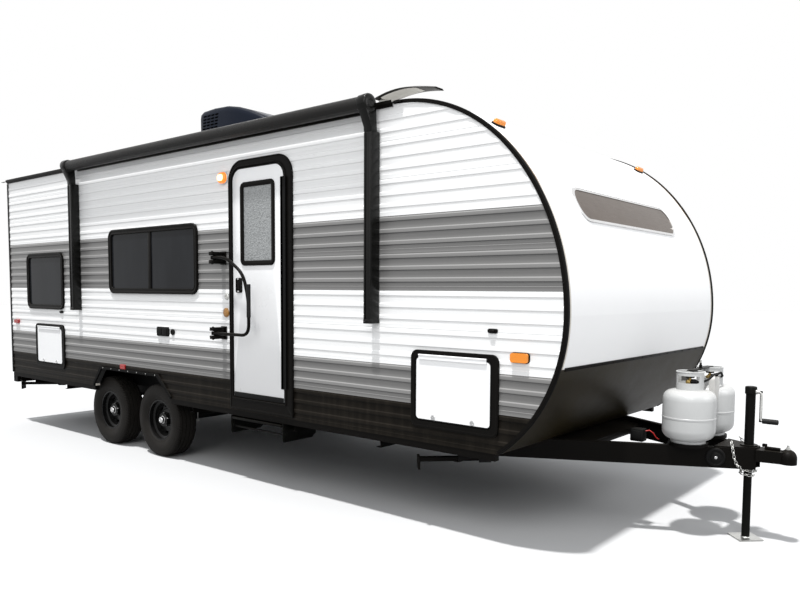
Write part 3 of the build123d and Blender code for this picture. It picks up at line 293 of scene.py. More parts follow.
@dataclass(frozen=True)
class Siding(Finish):
    """Roll-formed painted sheet: faint waves in the metal, rain streaks and road film low down."""

    colour: Colour
    film: Colour
    # Strength of the painted light and shade on the ribs.
    painted_rib_shade: float = 0.04
    shine: float = 0.4
    coat: float = 0.15
    rib_start: float = 0.6235
    rib_pitch: float = 0.0789

    def draw(self, graph: Graph) -> bpy.types.Material:
        """Draws waves, streaks and film, and painted light and shade on the rolled ribs: bands at the ribs' pitch,
        up-facing slopes paler, down-facing slopes darker.
        """
        spot = graph.place()
        # Painted light and shade: bands at the ribs' pitch, up-facing slopes paler, down-facing slopes darker.
        rib = ((graph.axis(spot, "Z") - self.rib_start) * (2 * pi / self.rib_pitch)).wave()
        up = ((graph.facing("Z") - 0.2) * 4.0).clamp() - ((graph.facing("Z") + 0.2) * -4.0).clamp() * 1.6
        streaks = graph.noise(graph.place((9.0, 9.0, 0.5)), 2.2, 5.0, 0.65)
        waves = graph.noise(graph.place((1.0, 1.0, 2.5)), 1.7, 2.0)
        grain = graph.noise(spot, 900.0, 1.0)
        low = (1.25 - graph.axis(spot, "Z")).clamp() * 0.10
        dirt = ((streaks - 0.46) * 0.9).clamp() * 0.16 + low * streaks
        return graph.surface(
            Base_Color=graph.mix(
                dirt,
                graph.mix(
                    (rib * 0.25 + up * 0.5 + 0.5).clamp(),
                    shaded(self.colour, 1 - 2.4 * self.painted_rib_shade),
                    shaded(self.colour, 1 + 2.0 * self.painted_rib_shade),
                ),
                self.film,
            ),
            Roughness=streaks * 0.14 + 0.27,
            Specular_IOR_Level=self.shine,
            Coat_Weight=self.coat,
            Coat_Roughness=0.14,
            Normal=graph.bump(grain * 0.02 + waves, 0.0035, 0.7),
        )


@dataclass(frozen=True)
class Metal(Finish):
    """Bare or plated metal with fine brushing or spangle."""

    colour: Colour
    roughness: float = 0.30
    brushed: Colour = (1.0, 1.0, 1.0)
    spangle: float = 0.12

    def draw(self, graph: Graph) -> bpy.types.Material:
        """Draws the spangle and the brushing."""
        spot = graph.place()
        flakes = graph.cells(spot, 90.0)
        lines = graph.noise(graph.place(self.brushed), 160.0, 3.0)
        stain = graph.noise(spot, 12.0, 4.0, 0.6)
        tone = graph.mix(flakes, shaded(self.colour, 1 - self.spangle), shaded(self.colour, 1 + self.spangle))
        return graph.surface(
            Base_Color=graph.mix((stain - 0.45).clamp() * 0.8, tone, shaded(self.colour, 0.55)),
            Roughness=lines * 0.22 + self.roughness - 0.1,
            Metallic=1.0,
            Normal=graph.bump(lines, 0.0002),
        )


@dataclass(frozen=True)
class DarkGlass(Finish):
    """Tinted safety glass, dark enough to hide the room behind it."""

    colour: Colour

    def draw(self, graph: Graph) -> bpy.types.Material:
        """Draws the tint with painted reflection in soft upright streaks, a thin haze in the roughness and the faint
        ripple of rolled glass.
        """
        spot = graph.place()
        # Painted reflection: the tint goes lighter and darker in soft upright streaks; the same noise is the haze in
        # the roughness.
        haze = graph.noise(graph.place((2.0, 2.0, 0.6)), 1.6, 3.0, 0.6)
        ripple = graph.noise(spot, 1.1, 1.0)
        return graph.surface(
            Base_Color=graph.mix(haze, shaded(self.colour, 0.6), shaded(self.colour, 1.5)),
            Roughness=haze * 0.06 + 0.02,
            Specular_IOR_Level=0.08,
            Normal=graph.bump(ripple, 0.002, 0.5),
        )


@dataclass(frozen=True)
class PebbledGlass(Finish):
    """Obscured glass with a rolled pebble pattern."""

    colour: Colour

    def draw(self, graph: Graph) -> bpy.types.Material:
        """Draws the pebbles, with painted light and shade: each pebble paler in its middle, darker at its edge."""
        spot = graph.place()
        pebbles = graph.cells(spot, 85.0)
        bend = graph.noise(spot, 45.0, 2.0)
        deep = graph.noise(graph.place((1.0, 1.0, 0.7)), 2.5, 2.0)
        # Painted light and shade: each pebble paler in its middle, darker at its edge.
        tone = graph.mix(pebbles * 0.8 + bend * 0.3, shaded(self.colour, 1.45), shaded(self.colour, 0.62))
        return graph.surface(
            Base_Color=graph.mix(deep * 0.4, tone, shaded(self.colour, 0.4)),
            Roughness=bend * 0.2 + 0.12,
            Specular_IOR_Level=0.6,
            Normal=graph.bump(pebbles + bend * 0.4, 0.003, 0.8),
        )


@dataclass(frozen=True)
class Rubber(Finish):
    """Tyre rubber with a fine grain and clouds of dust."""

    colour: Colour
    dusty: float = 0.3

    def draw(self, graph: Graph) -> bpy.types.Material:
        """Draws the grain and the dust."""
        spot = graph.place()
        cloud = graph.noise(spot, 9.0, 5.0, 0.65)
        fine = graph.noise(spot, 700.0, 2.0)
        dust = ((cloud - 0.35) * 1.6).clamp() * self.dusty
        return graph.surface(
            Base_Color=graph.mix(dust, self.colour, shaded(DUST, 0.55)),
            Roughness=cloud * 0.2 + 0.55,
            Specular_IOR_Level=0.2,
            Normal=graph.bump(fine, 0.0004),
        )


@dataclass(frozen=True)
class Lens(Finish):
    """Moulded lamp lens with prisms behind a smooth face, lit or not."""

    colour: Colour
    glow: Colour
    strength: float = 0.0

    def draw(self, graph: Graph) -> bpy.types.Material:
        """Draws the prisms, with painted light and shade on their facets."""
        spot = graph.place()
        across = (graph.axis(spot, "X") * 900.0 + graph.axis(spot, "Y") * 900.0).wave()
        rows = (graph.axis(spot, "Z") * 900.0).wave()
        prisms = across * rows * 0.5 + 0.5
        # Painted light and shade: the colour goes lighter and darker with the prisms' bumps.
        tone = graph.mix(prisms, shaded(self.colour, 0.55), shaded(self.colour, 1.25))
        return graph.surface(
            Base_Color=tone,
            Roughness=prisms * 0.1 + 0.1,
            Coat_Weight=0.3,
            Coat_Roughness=0.04,
            Emission_Color=graph.mix(prisms, shaded(self.glow, 0.7), self.glow),
            Emission_Strength=self.strength,
            Normal=graph.bump(prisms, 0.0008),
        )


@dataclass(frozen=True)
class Weave(Finish):
    """Coated awning cloth with its fine weave and soft creases along the roll."""

    colour: Colour

    def draw(self, graph: Graph) -> bpy.types.Material:
        """Draws the weave and the creases, with painted light and shade in bands along the roll that follow the
        creases.
        """
        spot = graph.place()
        warp = (graph.axis(spot, "X") * 2600.0).wave()
        weft = (graph.axis(spot, "Z") * 2600.0 + graph.axis(spot, "Y") * 2600.0).wave()
        creases = graph.noise(graph.place((0.7, 14.0, 14.0)), 3.0, 3.0)
        # Painted light and shade: the cloth goes lighter and darker with the creases, in bands along the roll.
        tone = graph.mix(creases, shaded(self.colour, 0.7), shaded(self.colour, 1.5))
        return graph.surface(
            Base_Color=tone,
            Roughness=creases * 0.2 + 0.35,
            Specular_IOR_Level=0.2,
            Normal=graph.bump(warp * weft * 0.06 + creases, 0.002),
        )


@dataclass(frozen=True)
class Embossed(Finish):
    """Black sheet with small raised pyramids in rows, scuffed by the road."""

    colour: Colour

    def draw(self, graph: Graph) -> bpy.types.Material:
        """Draws the pyramids and the scuffs."""
        spot = graph.place()
        rows = (graph.axis(spot, "Z") * 620.0 + graph.axis(spot, "X") * 300.0).wave()
        columns = (graph.axis(spot, "Y") * 620.0).wave()
        scuffs = graph.noise(spot, 5.0, 5.0, 0.7)
        film = ((scuffs - 0.42) * 1.6).clamp() * 0.3
        return graph.surface(
            Base_Color=graph.mix(film, self.colour, ROAD_FILM),
            Roughness=scuffs * 0.2 + 0.26,
            Specular_IOR_Level=0.12,
            Normal=graph.bump(rows * columns, 0.0004, 0.4),
        )


@dataclass(frozen=True)
class Room(Finish):
    """The room's lining: pale board on walls and ceiling, plank vinyl on the floor, black cloth below it."""

    board: Colour
    plank: Colour
    below: Colour

    def draw(self, graph: Graph) -> bpy.types.Material:
        """Draws lining by the way each face looks."""
        spot = graph.place()
        grain = graph.noise(graph.place((1.0, 14.0, 14.0)), 6.0, 5.0, 0.6)
        seams = ((graph.axis(spot, "Y") * 41.9).wave() - 0.985).clamp() * 60.0
        planks = graph.mix(grain, shaded(self.plank, 0.7), shaded(self.plank, 1.25))
        floor = graph.mix(seams.clamp(), planks, shaded(self.plank, 0.3))
        up = ((graph.facing("Z") - 0.5) * 20.0).clamp()
        down = ((graph.facing("Z") + 0.5) * -20.0).clamp()
        board = graph.mix(grain * 0.3, self.board, shaded(self.board, 0.8))
        return graph.surface(
            Base_Color=graph.mix(down, graph.mix(up, board, floor), self.below),
            Roughness=grain * 0.2 + 0.45,
            Normal=graph.bump(grain, 0.0004),
        )


FRAME_BLACK = Paint(
    "frame_paint", "frame_black", (0.004, 0.0035, 0.003), 0.42, grain=260.0, depth=0.0004, dust=0.03, shine=0.05
)
JACK_BLACK = Paint("jack_paint", "jack_black", (0.004, 0.004, 0.0035), 0.36, dust=0.03, shine=0.06)
ZINC = Metal("zinc_plate", "zinc", (0.62, 0.62, 0.60), 0.34)
CHROME = Metal("bright_plate", "zinc", (0.80, 0.80, 0.80), 0.16, spangle=0.03)
BOTTLE = Paint(
    "bottle_coat", "bottle_white", (0.50, 0.505, 0.50), 0.34, coat=0.3, grain=190.0, mottle=0.05, dust=0.2
)
BRASS = Metal("brass_bar", "brass", (0.62, 0.44, 0.16), 0.30, spangle=0.08)
# After the film colour, where given, comes the strength of the painted light and shade on the ribs.
WHITE_SIDING = Siding("white_siding", "siding_white", (0.86, 0.86, 0.855), (0.56, 0.55, 0.52))
GREY_SIDING = Siding("grey_siding", "siding_grey", (0.182, 0.179, 0.175), (0.25, 0.24, 0.22), 0.22)
BLACK_SIDING = Siding("black_siding", "siding_black", (0.006, 0.005, 0.004), (0.13, 0.11, 0.085), 0.35, 0.05, 0.0)
SHELL = Paint(
    "nose_gelcoat", "shell_white", (0.90, 0.90, 0.90), 0.4, grain=300.0, depth=0.0002, mottle=0.01, dust=0.0, shine=0.2
)
ROOF = Paint(
    "roof_membrane", "roof_white", (0.46, 0.46, 0.445), 0.62, grain=60.0, depth=0.0012, mottle=0.08, dust=0.3
)
ROOM = Room("room_lining", "deck", (0.62, 0.58, 0.52), (0.26, 0.18, 0.11), (0.02, 0.02, 0.02))
# The guard's faint olive tint is painted sheen on a near-black sheet.
GUARD = Embossed("guard_sheet", "guard_black", (0.012, 0.009, 0.004))
TRIM = Paint("trim_coat", "trim_black", (0.0045, 0.004, 0.0035), 0.32, mottle=0.15, dust=0.02, shine=0.06)
GLASS = DarkGlass("tinted_pane", "tinted_glass", (0.014, 0.015, 0.017))
FROST = PebbledGlass("pebbled_pane", "frosted_glass", (0.30, 0.31, 0.31))
WELL = Paint(
    "well_plastic", "well_black", (0.005, 0.005, 0.005), 0.5, grain=120.0, depth=0.0008, dust=0.04, shine=0.04
)
AXLE = Paint("axle_paint", "axle_black", (0.006, 0.006, 0.006), 0.45, dust=0.08, shine=0.1)
SPRING = Paint(
    "spring_paint", "spring_steel", (0.016, 0.014, 0.012), 0.55, grain=150.0, depth=0.0008, dust=0.2, shine=0.2
)
CLOTH = Weave("awning_cloth", "awning_fabric", (0.009, 0.0085, 0.008))
ARM = Paint("awning_coat", "awning_black", (0.004, 0.004, 0.0035), 0.24, dust=0.02, shine=0.2)
UNIT = Paint(
    "unit_shell", "unit_black", (0.007, 0.010, 0.018), 0.38,
    grain=700.0, depth=0.0006, mottle=0.12, dust=0.01, shine=0.08,
)
VENT = Paint("vent_plastic", "vent_white", (0.60, 0.59, 0.565), 0.45, dust=0.3)
LID = Paint("lid_plastic", "lid_smoke", (0.62, 0.62, 0.60), 0.22, coat=0.5, grain=30.0, dust=0.25)
STEP = Paint("step_paint", "step_black", (0.004, 0.004, 0.0035), 0.38, dust=0.03, shine=0.06)
AMBER = Lens("amber_lens", "amber", (0.72, 0.22, 0.012), (0.9, 0.30, 0.02), 0.25)
# The amber reflector's faint glow is painted light: it is no lamp.
DULL_AMBER = Lens("amber_disc", "amber", (0.36, 0.16, 0.02), (0.4, 0.15, 0.02), 0.05)
PORCH = Lens("porch_lens", "amber", (0.85, 0.20, 0.02), (1.0, 0.22, 0.02), 1.1)
HOT = Lens("porch_glow", "amber", (0.95, 0.80, 0.45), (1.0, 0.72, 0.30), 3.0)
# The faint glow is a lamp's on the tail lamps and painted light on the red reflector, which is no lamp.
RED = Lens("red_lens", "red", (0.34, 0.006, 0.005), (0.5, 0.01, 0.01), 0.06)
DOOR = Paint(
    "door_gelcoat", "door_white", (0.90, 0.90, 0.90), 0.30, coat=0.15, grain=300.0, depth=0.0002, mottle=0.01
)
# Near-black slivers on the cooler stand for its louvres' openings: painted shade.
PAINTED_OPENING_SHADE = Paint("painted_opening_shade", "unit_black", (0.001, 0.001, 0.001), 0.9, dust=0.0, shine=0.0)
GRIP = Paint(
    "grip_rubber", "handle_black", (0.008, 0.008, 0.008), 0.50, grain=800.0, depth=0.0006, dust=0.02, shine=0.2
)
RIM = Paint("rim_gloss", "rim_black", (0.006, 0.006, 0.006), 0.2, coat=0.15, grain=90.0, dust=0.02, shine=0.12)
TYRE = Rubber("tyre_rubber", "tyre", (0.006, 0.005, 0.004), 0.04)
SEAL = Paint("seal_rubber", "handle_black", (0.007, 0.007, 0.007), 0.55, grain=500.0, dust=0.02, shine=0.08)
LEAD = Paint("red_lead", "red", (0.45, 0.012, 0.010), 0.4, grain=300.0, dust=0.2)
PLATE = Metal("plate_bronze", "trim_black", (0.16, 0.13, 0.11), 0.30, brushed=(1.0, 0.06, 1.0), spangle=0.03)


# ---------------------------------------------------------------- meshes
class Facing(Enum):
    """The way a flat piece looks, as the directions of its u, its v and its outward side."""

    RIGHT = ((1, 0, 0), (0, 0, 1), (0, -1, 0))
    LEFT = ((1, 0, 0), (0, 0, 1), (0, 1, 0))
    FRONT = ((0, 1, 0), (0, 0, 1), (1, 0, 0))
    UP = ((1, 0, 0), (0, 1, 0), (0, 0, 1))


@dataclass(frozen=True)
class Face:
    """A flat working face, at a level along its outward axis, in body millimetres."""

    facing: Facing
    level: float

    @property
    def outward(self) -> Vector:
        """Gives the outward direction."""
        return Vector(self.facing.value[2])

    def at(self, u: float, v: float, out: float = 0.0) -> Vector:
        """Gives the point at u, v and a height above the face."""
        right, up, away = (Vector(direction) for direction in self.facing.value)
        return right * u + up * v + away * (self.level * sum(away) + out)


def flank(hand: int, level: float = HALF) -> Face:
    """Gives the face of a side of the body: -1 is the door side, 1 the other."""
    return Face(Facing.RIGHT if hand < 0 else Facing.LEFT, hand * level)


@dataclass(frozen=True)
class Rect:
    """A rectangle with rounded corners on a face; its foot is the radius of the lower ones, where they differ."""

    left: float
    right: float
    low: float
    high: float
    corner: float = 0.0
    foot: float | None = None

    @classmethod
    def about(cls, u: float, v: float, half_width: float, half_height: float, corner: float) -> "Rect":
        """Gives the rectangle about a middle."""
        return cls(u - half_width, u + half_width, v - half_height, v + half_height, corner)

    def grown(self, margin: float, corner: float) -> "Rect":
        """Gives the rectangle with a margin on every side and a corner of its own."""
        return Rect(self.left - margin, self.right + margin, self.low - margin, self.high + margin, corner)

    def loop(self, inset: float = 0.0, steps: int = 6) -> Points:
        """Gives the outline's points, drawn in by an inset."""
        left, right, low, high = self.left + inset, self.right - inset, self.low + inset, self.high - inset
        corners = ((right, high, 0), (left, high, 1), (left, low, 2), (right, low, 3))
        points = []
        for x, y, turn in corners:
            radius = max((self.corner if turn < 2 or self.foot is None else self.foot) - inset, 0.4)
            centre_x = x - radius if turn in (0, 3) else x + radius
            centre_y = y - radius if turn in (0, 1) else y + radius
            for step in range(steps + 1):
                angle = pi / 2 * (turn + step / steps)
                points.append((centre_x + radius * cos(angle), centre_y + radius * sin(angle)))
        return points


class Shape:
    """A mesh in the making, in body millimetres."""

    def __init__(self, name: str) -> None:
        """Starts an empty mesh."""
        self.name = name
        self.mesh = bmesh.new()

    def rings(self, rings: list[list[Point]], closed: bool = False, capped: bool = True) -> "Shape":
        """Joins rings of points by faces.

        Args:
            rings: Rings with one and the same number of points.
            closed: Whether the last ring joins the first.
            capped: Whether the end rings are filled.

        Returns:
            This shape.
        """
        made = [[self.mesh.verts.new(point) for point in ring] for ring in rings]
        pairs = list(zip(made, made[1:])) + ([(made[-1], made[0])] if closed else [])
        for first, second in pairs:
            count = len(first)
            for index in range(count):
                after = (index + 1) % count
                self.mesh.faces.new((first[index], first[after], second[after], second[index]))
        if capped and not closed:
            self.mesh.faces.new(made[0][::-1])
            self.mesh.faces.new(made[-1])
        return self

    def block(self, corner: Point, other: Point, chamfer: float = 0.0) -> "Shape":
        """Adds a block between two opposite corners, its edges taken off by a chamfer."""
        low, high = zip(*(sorted(pair) for pair in zip(corner, other)))
        made = bmesh.ops.create_cube(self.mesh, size=1.0)["verts"]
        for vert in made:
            vert.co = Vector(low[i] + (vert.co[i] + 0.5) * (high[i] - low[i]) for i in range(3))
        if chamfer:
            edges = list({edge for vert in made for edge in vert.link_edges})
            bmesh.ops.bevel(
                self.mesh, geom=edges, offset=chamfer, segments=2, profile=0.5, affect="EDGES", clamp_overlap=True
            )
        return self

    def turned(self, centre: Point, axis: Point, profile: Points, steps: int = 32) -> "Shape":
        """Turns a profile about an axis.

        Args:
            centre: A point on the axis.
            axis: The axis's direction.
            profile: Points of (distance along the axis, radius).
            steps: Points round each ring.

        Returns:
            This shape.
        """
        along, first, second = crossing(axis)
        least = 0.05
        return self.rings(
            [
                circle(Vector(centre) + along * distance, first, second, max(radius, least), steps)
                for distance, radius in profile
            ]
        )

    def ring(self, centre: Point, axis: Point, radius: float, wire: float, steps: int = 40) -> "Shape":
        """Adds a round wire ring about an axis."""
        along, first, second = crossing(axis)
        rings = []
        for index in range(steps):
            turn = 2 * pi * index / steps
            out = first * cos(turn) + second * sin(turn)
            rings.append(circle(Vector(centre) + out * radius, out, along, wire, 8))
        return self.rings(rings, closed=True)

    def hoop(
        self, foot: Point, radius: float, low: float, high: float, arc: tuple[float, float] | None = None
    ) -> "Shape":
        """Adds an upright hoop of sheet, whole or over an arc.

        Args:
            foot: The point on its axis from which heights are counted.
            radius: Outer radius.
            low: Lower edge above the foot.
            high: Upper edge above the foot.
            arc: First and last angle in radians, or none for a whole hoop.

        Returns:
            This shape.
        """
        inner = radius - 4.0
        start, end = arc or (0.0, 2 * pi)
        count = 16 if arc else 56
        rings = []
        for step in range(count + 1 if arc else count):
            angle = start + (end - start) * step / count
            out = Vector((cos(angle), sin(angle), 0))
            section = ((radius, low), (radius, high), (inner, high), (inner, low))
            rings.append([Vector(foot) + out * reach + Vector((0, 0, height)) for reach, height in section])
        return self.rings(rings, closed=arc is None)

    def bar(self, points: list[Point], radius: float, sides: int = 12) -> "Shape":
        """Adds a round bar along a line of points."""
        line = [Vector(point) for point in points]
        normal = (line[1] - line[0]).orthogonal().normalized()
        rings = []
        for index, point in enumerate(line):
            before = line[max(index - 1, 0)]
            after = line[min(index + 1, len(line) - 1)]
            along = (after - before).normalized()
            normal = (normal - along * normal.dot(along)).normalized()
            other = along.cross(normal)
            rings.append(circle(point, normal, other, radius, sides))
        return self.rings(rings)

    def band(
        self, section: list[tuple[Rect, float, float]], face: Face, closed: bool = True, steps: int = 8
    ) -> "Shape":
        """Joins rectangles of a face by faces.

        Args:
            section: Rows of a rectangle, its inset and its height above the face.
            face: The face.
            closed: Whether the last row joins the first; if not, both end rows are filled.
            steps: Points in each rounded corner.

        Returns:
            This shape.
        """
        rings = [[face.at(u, v, out) for u, v in rect.loop(inset, steps)] for rect, inset, out in section]
        return self.rings(rings, closed=closed, capped=not closed)

    def moulding(self, rect: Rect, face: Face, section: Points, steps: int = 6) -> "Shape":
        """Runs a closed section of (inset, height) points round a rectangle."""
        return self.band([(rect, inset, out) for inset, out in section], face, True, steps)

    def panel(self, rect: Rect, face: Face, section: Points, steps: int = 6) -> "Shape":
        """Raises a filled panel from a rectangle by an open section of (inset, height) points."""
        return self.band([(rect, inset, out) for inset, out in section], face, False, steps)

    def slab(self, outline: Points, face: Face, low: float, high: float) -> "Shape":
        """Adds a flat plate of an outline between two heights above a face."""
        return self.rings([[face.at(u, v, low) for u, v in outline], [face.at(u, v, high) for u, v in outline]])

    def screw(self, centre: Point, axis: Point, radius: float = 5.0) -> "Shape":
        """Adds a pan-head screw."""
        profile = [(-0.5, radius), (radius * 0.3, radius * 0.96), (radius * 0.55, radius * 0.7), (radius * 0.62, 0)]
        return self.turned(centre, axis, profile, 10)

    def bolt(self, centre: Point, axis: Point, across: float = 18.0, washer: bool = True) -> "Shape":
        """Adds a hexagon head on its washer."""
        wide = across / 2 / cos(pi / 6)
        if washer:
            self.turned(centre, axis, [(-0.5, wide * 1.25), (2.0, wide * 1.25), (2.4, wide * 1.15)], 20)
        head = across * 0.42
        return self.turned(centre, axis, [(0.0, wide), (head, wide), (head + 1.2, wide * 0.84)], 6)

    def piece(
        self,
        finish: Finish,
        body: str = "trailer",
        replaces: tuple[str, ...] = (),
        sharp: float = 35.0,
        bevel: float = 0.0,
    ) -> None:
        """Turns the shape into a finished piece that rides on a body.

        Args:
            finish: The finish.
            body: The CAD body it moves with.
            replaces: The CAD nodes it stands for.
            sharp: The angle in degrees from which an edge is drawn sharp.
            bevel: Width in millimetres by which sharp edges are eased.
        """
        for vert in self.mesh.verts:
            vert.co = metres(vert.co)
        bmesh.ops.recalc_face_normals(self.mesh, faces=self.mesh.faces)
        data = bpy.data.meshes.new(self.name)
        self.mesh.to_mesh(data)
        self.mesh.free()
        made = bpy.data.objects.new(self.name, data)
        bpy.context.collection.objects.link(made)
        if bevel:
            eased = made.modifiers.new("eased", "BEVEL")
            eased.width = bevel / 1000
            eased.segments = 2
            eased.angle_limit = radians(sharp)
            eased.limit_method = "ANGLE"
            seen = made.evaluated_get(bpy.context.evaluated_depsgraph_get())
            made.data = bpy.data.meshes.new_from_object(seen)
            made.modifiers.clear()
        for polygon in made.data.polygons:
            polygon.use_smooth = True
        made.data.set_sharp_from_angle(angle=radians(sharp))
        made.data.materials.append(finish.material())
        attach(made, body)
        if replaces:
            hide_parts(*replaces)
        log.info("piece %s: %d faces on %s", self.name, len(made.data.polygons), body)


def grooved(count: int, pitch: float, crest: float, groove: float) -> Points:
    """Gives the ribbed part of a grip's profile: one groove at every pitch."""
    profile = []
    for index in range(count):
        along = 8 + index * pitch
        profile += [(along, crest), (along + 2, groove), (along + 4, crest)]
    return profile


def dress(finish: Finish, *nodes: str) -> None:
    """Gives CAD nodes their finish; their meshes stay as they are."""
    for name in nodes:
        data = frame["nodes"][name].data
        data.materials.clear()
        data.materials.append(finish.material())
        log.info("node %s: %s", name, finish.name)


# ---------------------------------------------------------------- sub-assemblies
@dataclass
class Chassis:
    """Rails, cross members, bumper and what is bolted to them."""

    bolt_rows: tuple[float, ...] = (90.0, 1180.0, 3420.0, 4710.0, 5560.0)
    bolt_height: float = 510.5

    def build(self) -> None:
        """Dresses the frame and adds its bolts and end caps."""
        dress(FRAME_BLACK, "main_rails", "cross_members", "a_frame", "rear_bumper")
        self.bolts()
        self.bumper_caps()

    def bolts(self) -> None:
        """Adds bolt heads on the rails' outer sides at each cross member."""
        shape = Shape("frame_bolts")
        for x in self.bolt_rows:
            for hand in SIDES:
                for off in (-14, 14):
                    shape.bolt((x + off, hand * (RAIL_Y + 3.2), self.bolt_height), (0, hand, 0), 14.0)
        shape.piece(ZINC)

    def bumper_caps(self) -> None:
        """Adds the plastic caps in the ends of the square bumper tube."""
        shape = Shape("bumper_caps")
        for hand in SIDES:
            face = Face(Facing.RIGHT if hand < 0 else Facing.LEFT, hand * (HALF - 60))
            rect = Rect(-115, -13, 449, 551, 8)
            shape.panel(rect, face, [(2, -3), (2, 0.5), (0, 1), (0, 5), (6, 8), (22, 8), (26, 5)])
        shape.piece(SEAL)


@dataclass
class Wheel:
    """One wheel: treaded tyre, lug nuts, dust cap and valve.

    Its stations are places along one pitch of the tread, as shares of it, each with whether the lugs are cut there.
    """

    place: str
    hand: int
    x: float
    radius: float = 331.0
    middle: float = 1032.5
    pitches: int = 76
    groove: float = 6.5
    shoulder: float = 55.0
    slant: float = 0.0016
    stations: tuple[tuple[float, bool], ...] = ((0.0, False), (0.05, True), (0.20, True), (0.25, False), (0.62, False))
    stud_circle: float = 57.15

    def build(self) -> None:
        """Builds the tyre and the bright parts of the hub."""
        body = f"wheel_{self.place}"
        dress(RIM, f"rim_{self.place}")
        self.tyre().piece(TYRE, body, (f"tyre_{self.place}",), sharp=28.0)
        self.nuts().piece(CHROME, body)
        self.valve().piece(SEAL, body)

    def section(self) -> list[tuple[float, float, bool]]:
        """Gives half of the tyre's section from bead to crown: lateral place, radius and whether lugs cut it."""
        wall = [(70, 178.6), (75, 184), (79, 190), (83, 193), (85, 197), (85, 201), (92, 212), (98.5, 230)]
        wall += [(101.8, 246), (102.5, 258), (101.6, 272), (99.3, 286), (99.8, 287), (99.2, 291), (98.4, 292)]
        wall += [(96.2, 302), (93.5, 310)]
        points = [(lateral, radius, False) for lateral, radius in wall]
        points += [(91.5, 314.0, True), (88.0, 320.5, True), (83.0, 325.8, True), (78.0, 327.6, True)]
        points += [(61.0, 329.2, True), (60.0, 329.3, False), (58.5, 322.0, False), (52.5, 322.2, False)]
        points += [(51.0, 330.0, True), (47.0, 330.2, True), (32.0, 330.6, False), (26.5, 330.7, True)]
        points += [(25.5, 330.7, False), (24.0, 323.0, False), (17.0, 323.1, False), (15.5, 330.9, False)]
        points += [(14.0, 330.9, True), (5.0, 331.0, False)]
        return points

    def tyre(self) -> Shape:
        """Builds the tyre, its grooves and shoulder lugs cut into the rings."""
        half = self.section()
        full = half + [(-lateral, radius, cut) for lateral, radius, cut in reversed(half)]
        rings = []
        for pitch in range(self.pitches):
            for share, cutting in self.stations:
                ring = []
                for lateral, radius, cut in full:
                    depth = self.groove * (0.9 if abs(lateral) > self.shoulder else 0.35) if cut and cutting else 0.0
                    lean = abs(lateral) * self.slant
                    angle = 2 * pi * (pitch + share) / self.pitches + lean
                    ring.append(self.point(lateral, radius - depth, angle))
                rings.append(ring)
        shape = Shape(f"treaded_tyre_{self.place}")
        return shape.rings(rings, closed=True)

    def point(self, lateral: float, radius: float, angle: float) -> Vector:
        """Gives a point of the wheel by its lateral place, radius and angle."""
        y = self.hand * (self.middle + lateral)
        return Vector((self.x + radius * cos(angle), y, self.radius + radius * sin(angle)))

    def nuts(self) -> Shape:
        """Builds the five nuts and the domed dust cap."""
        shape = Shape(f"wheel_nuts_{self.place}")
        axis = (0, self.hand, 0)
        for index in range(5):
            angle = pi / 2 + 2 * pi * index / 5
            centre = self.point(8, self.stud_circle, angle)
            shape.turned(centre, axis, [(0, 12.6), (20, 12.6), (23, 10.5), (30, 9.5), (33.5, 6.5), (35, 0)], 6)
        cap = [(0, 33), (2, 35), (5, 35), (6, 30.5), (22, 29.5), (27, 26), (29, 22), (29, 14), (26.5, 12.5), (26.5, 0)]
        return shape.turned(self.point(44.3, 0.0, 0.0), axis, cap, 32)

    def valve(self) -> Shape:
        """Builds the rubber valve stem with its cap, standing out of the rim."""
        foot = self.point(56, 146, 0.9)
        tip = self.point(84, 138, 0.9)
        shape = Shape(f"valve_{self.place}")
        return shape.turned(foot, tip - foot, [(-8, 7), (4, 6.5), (8, 4), (20, 3.8), (21, 5), (30, 4.8), (31, 3)], 14)


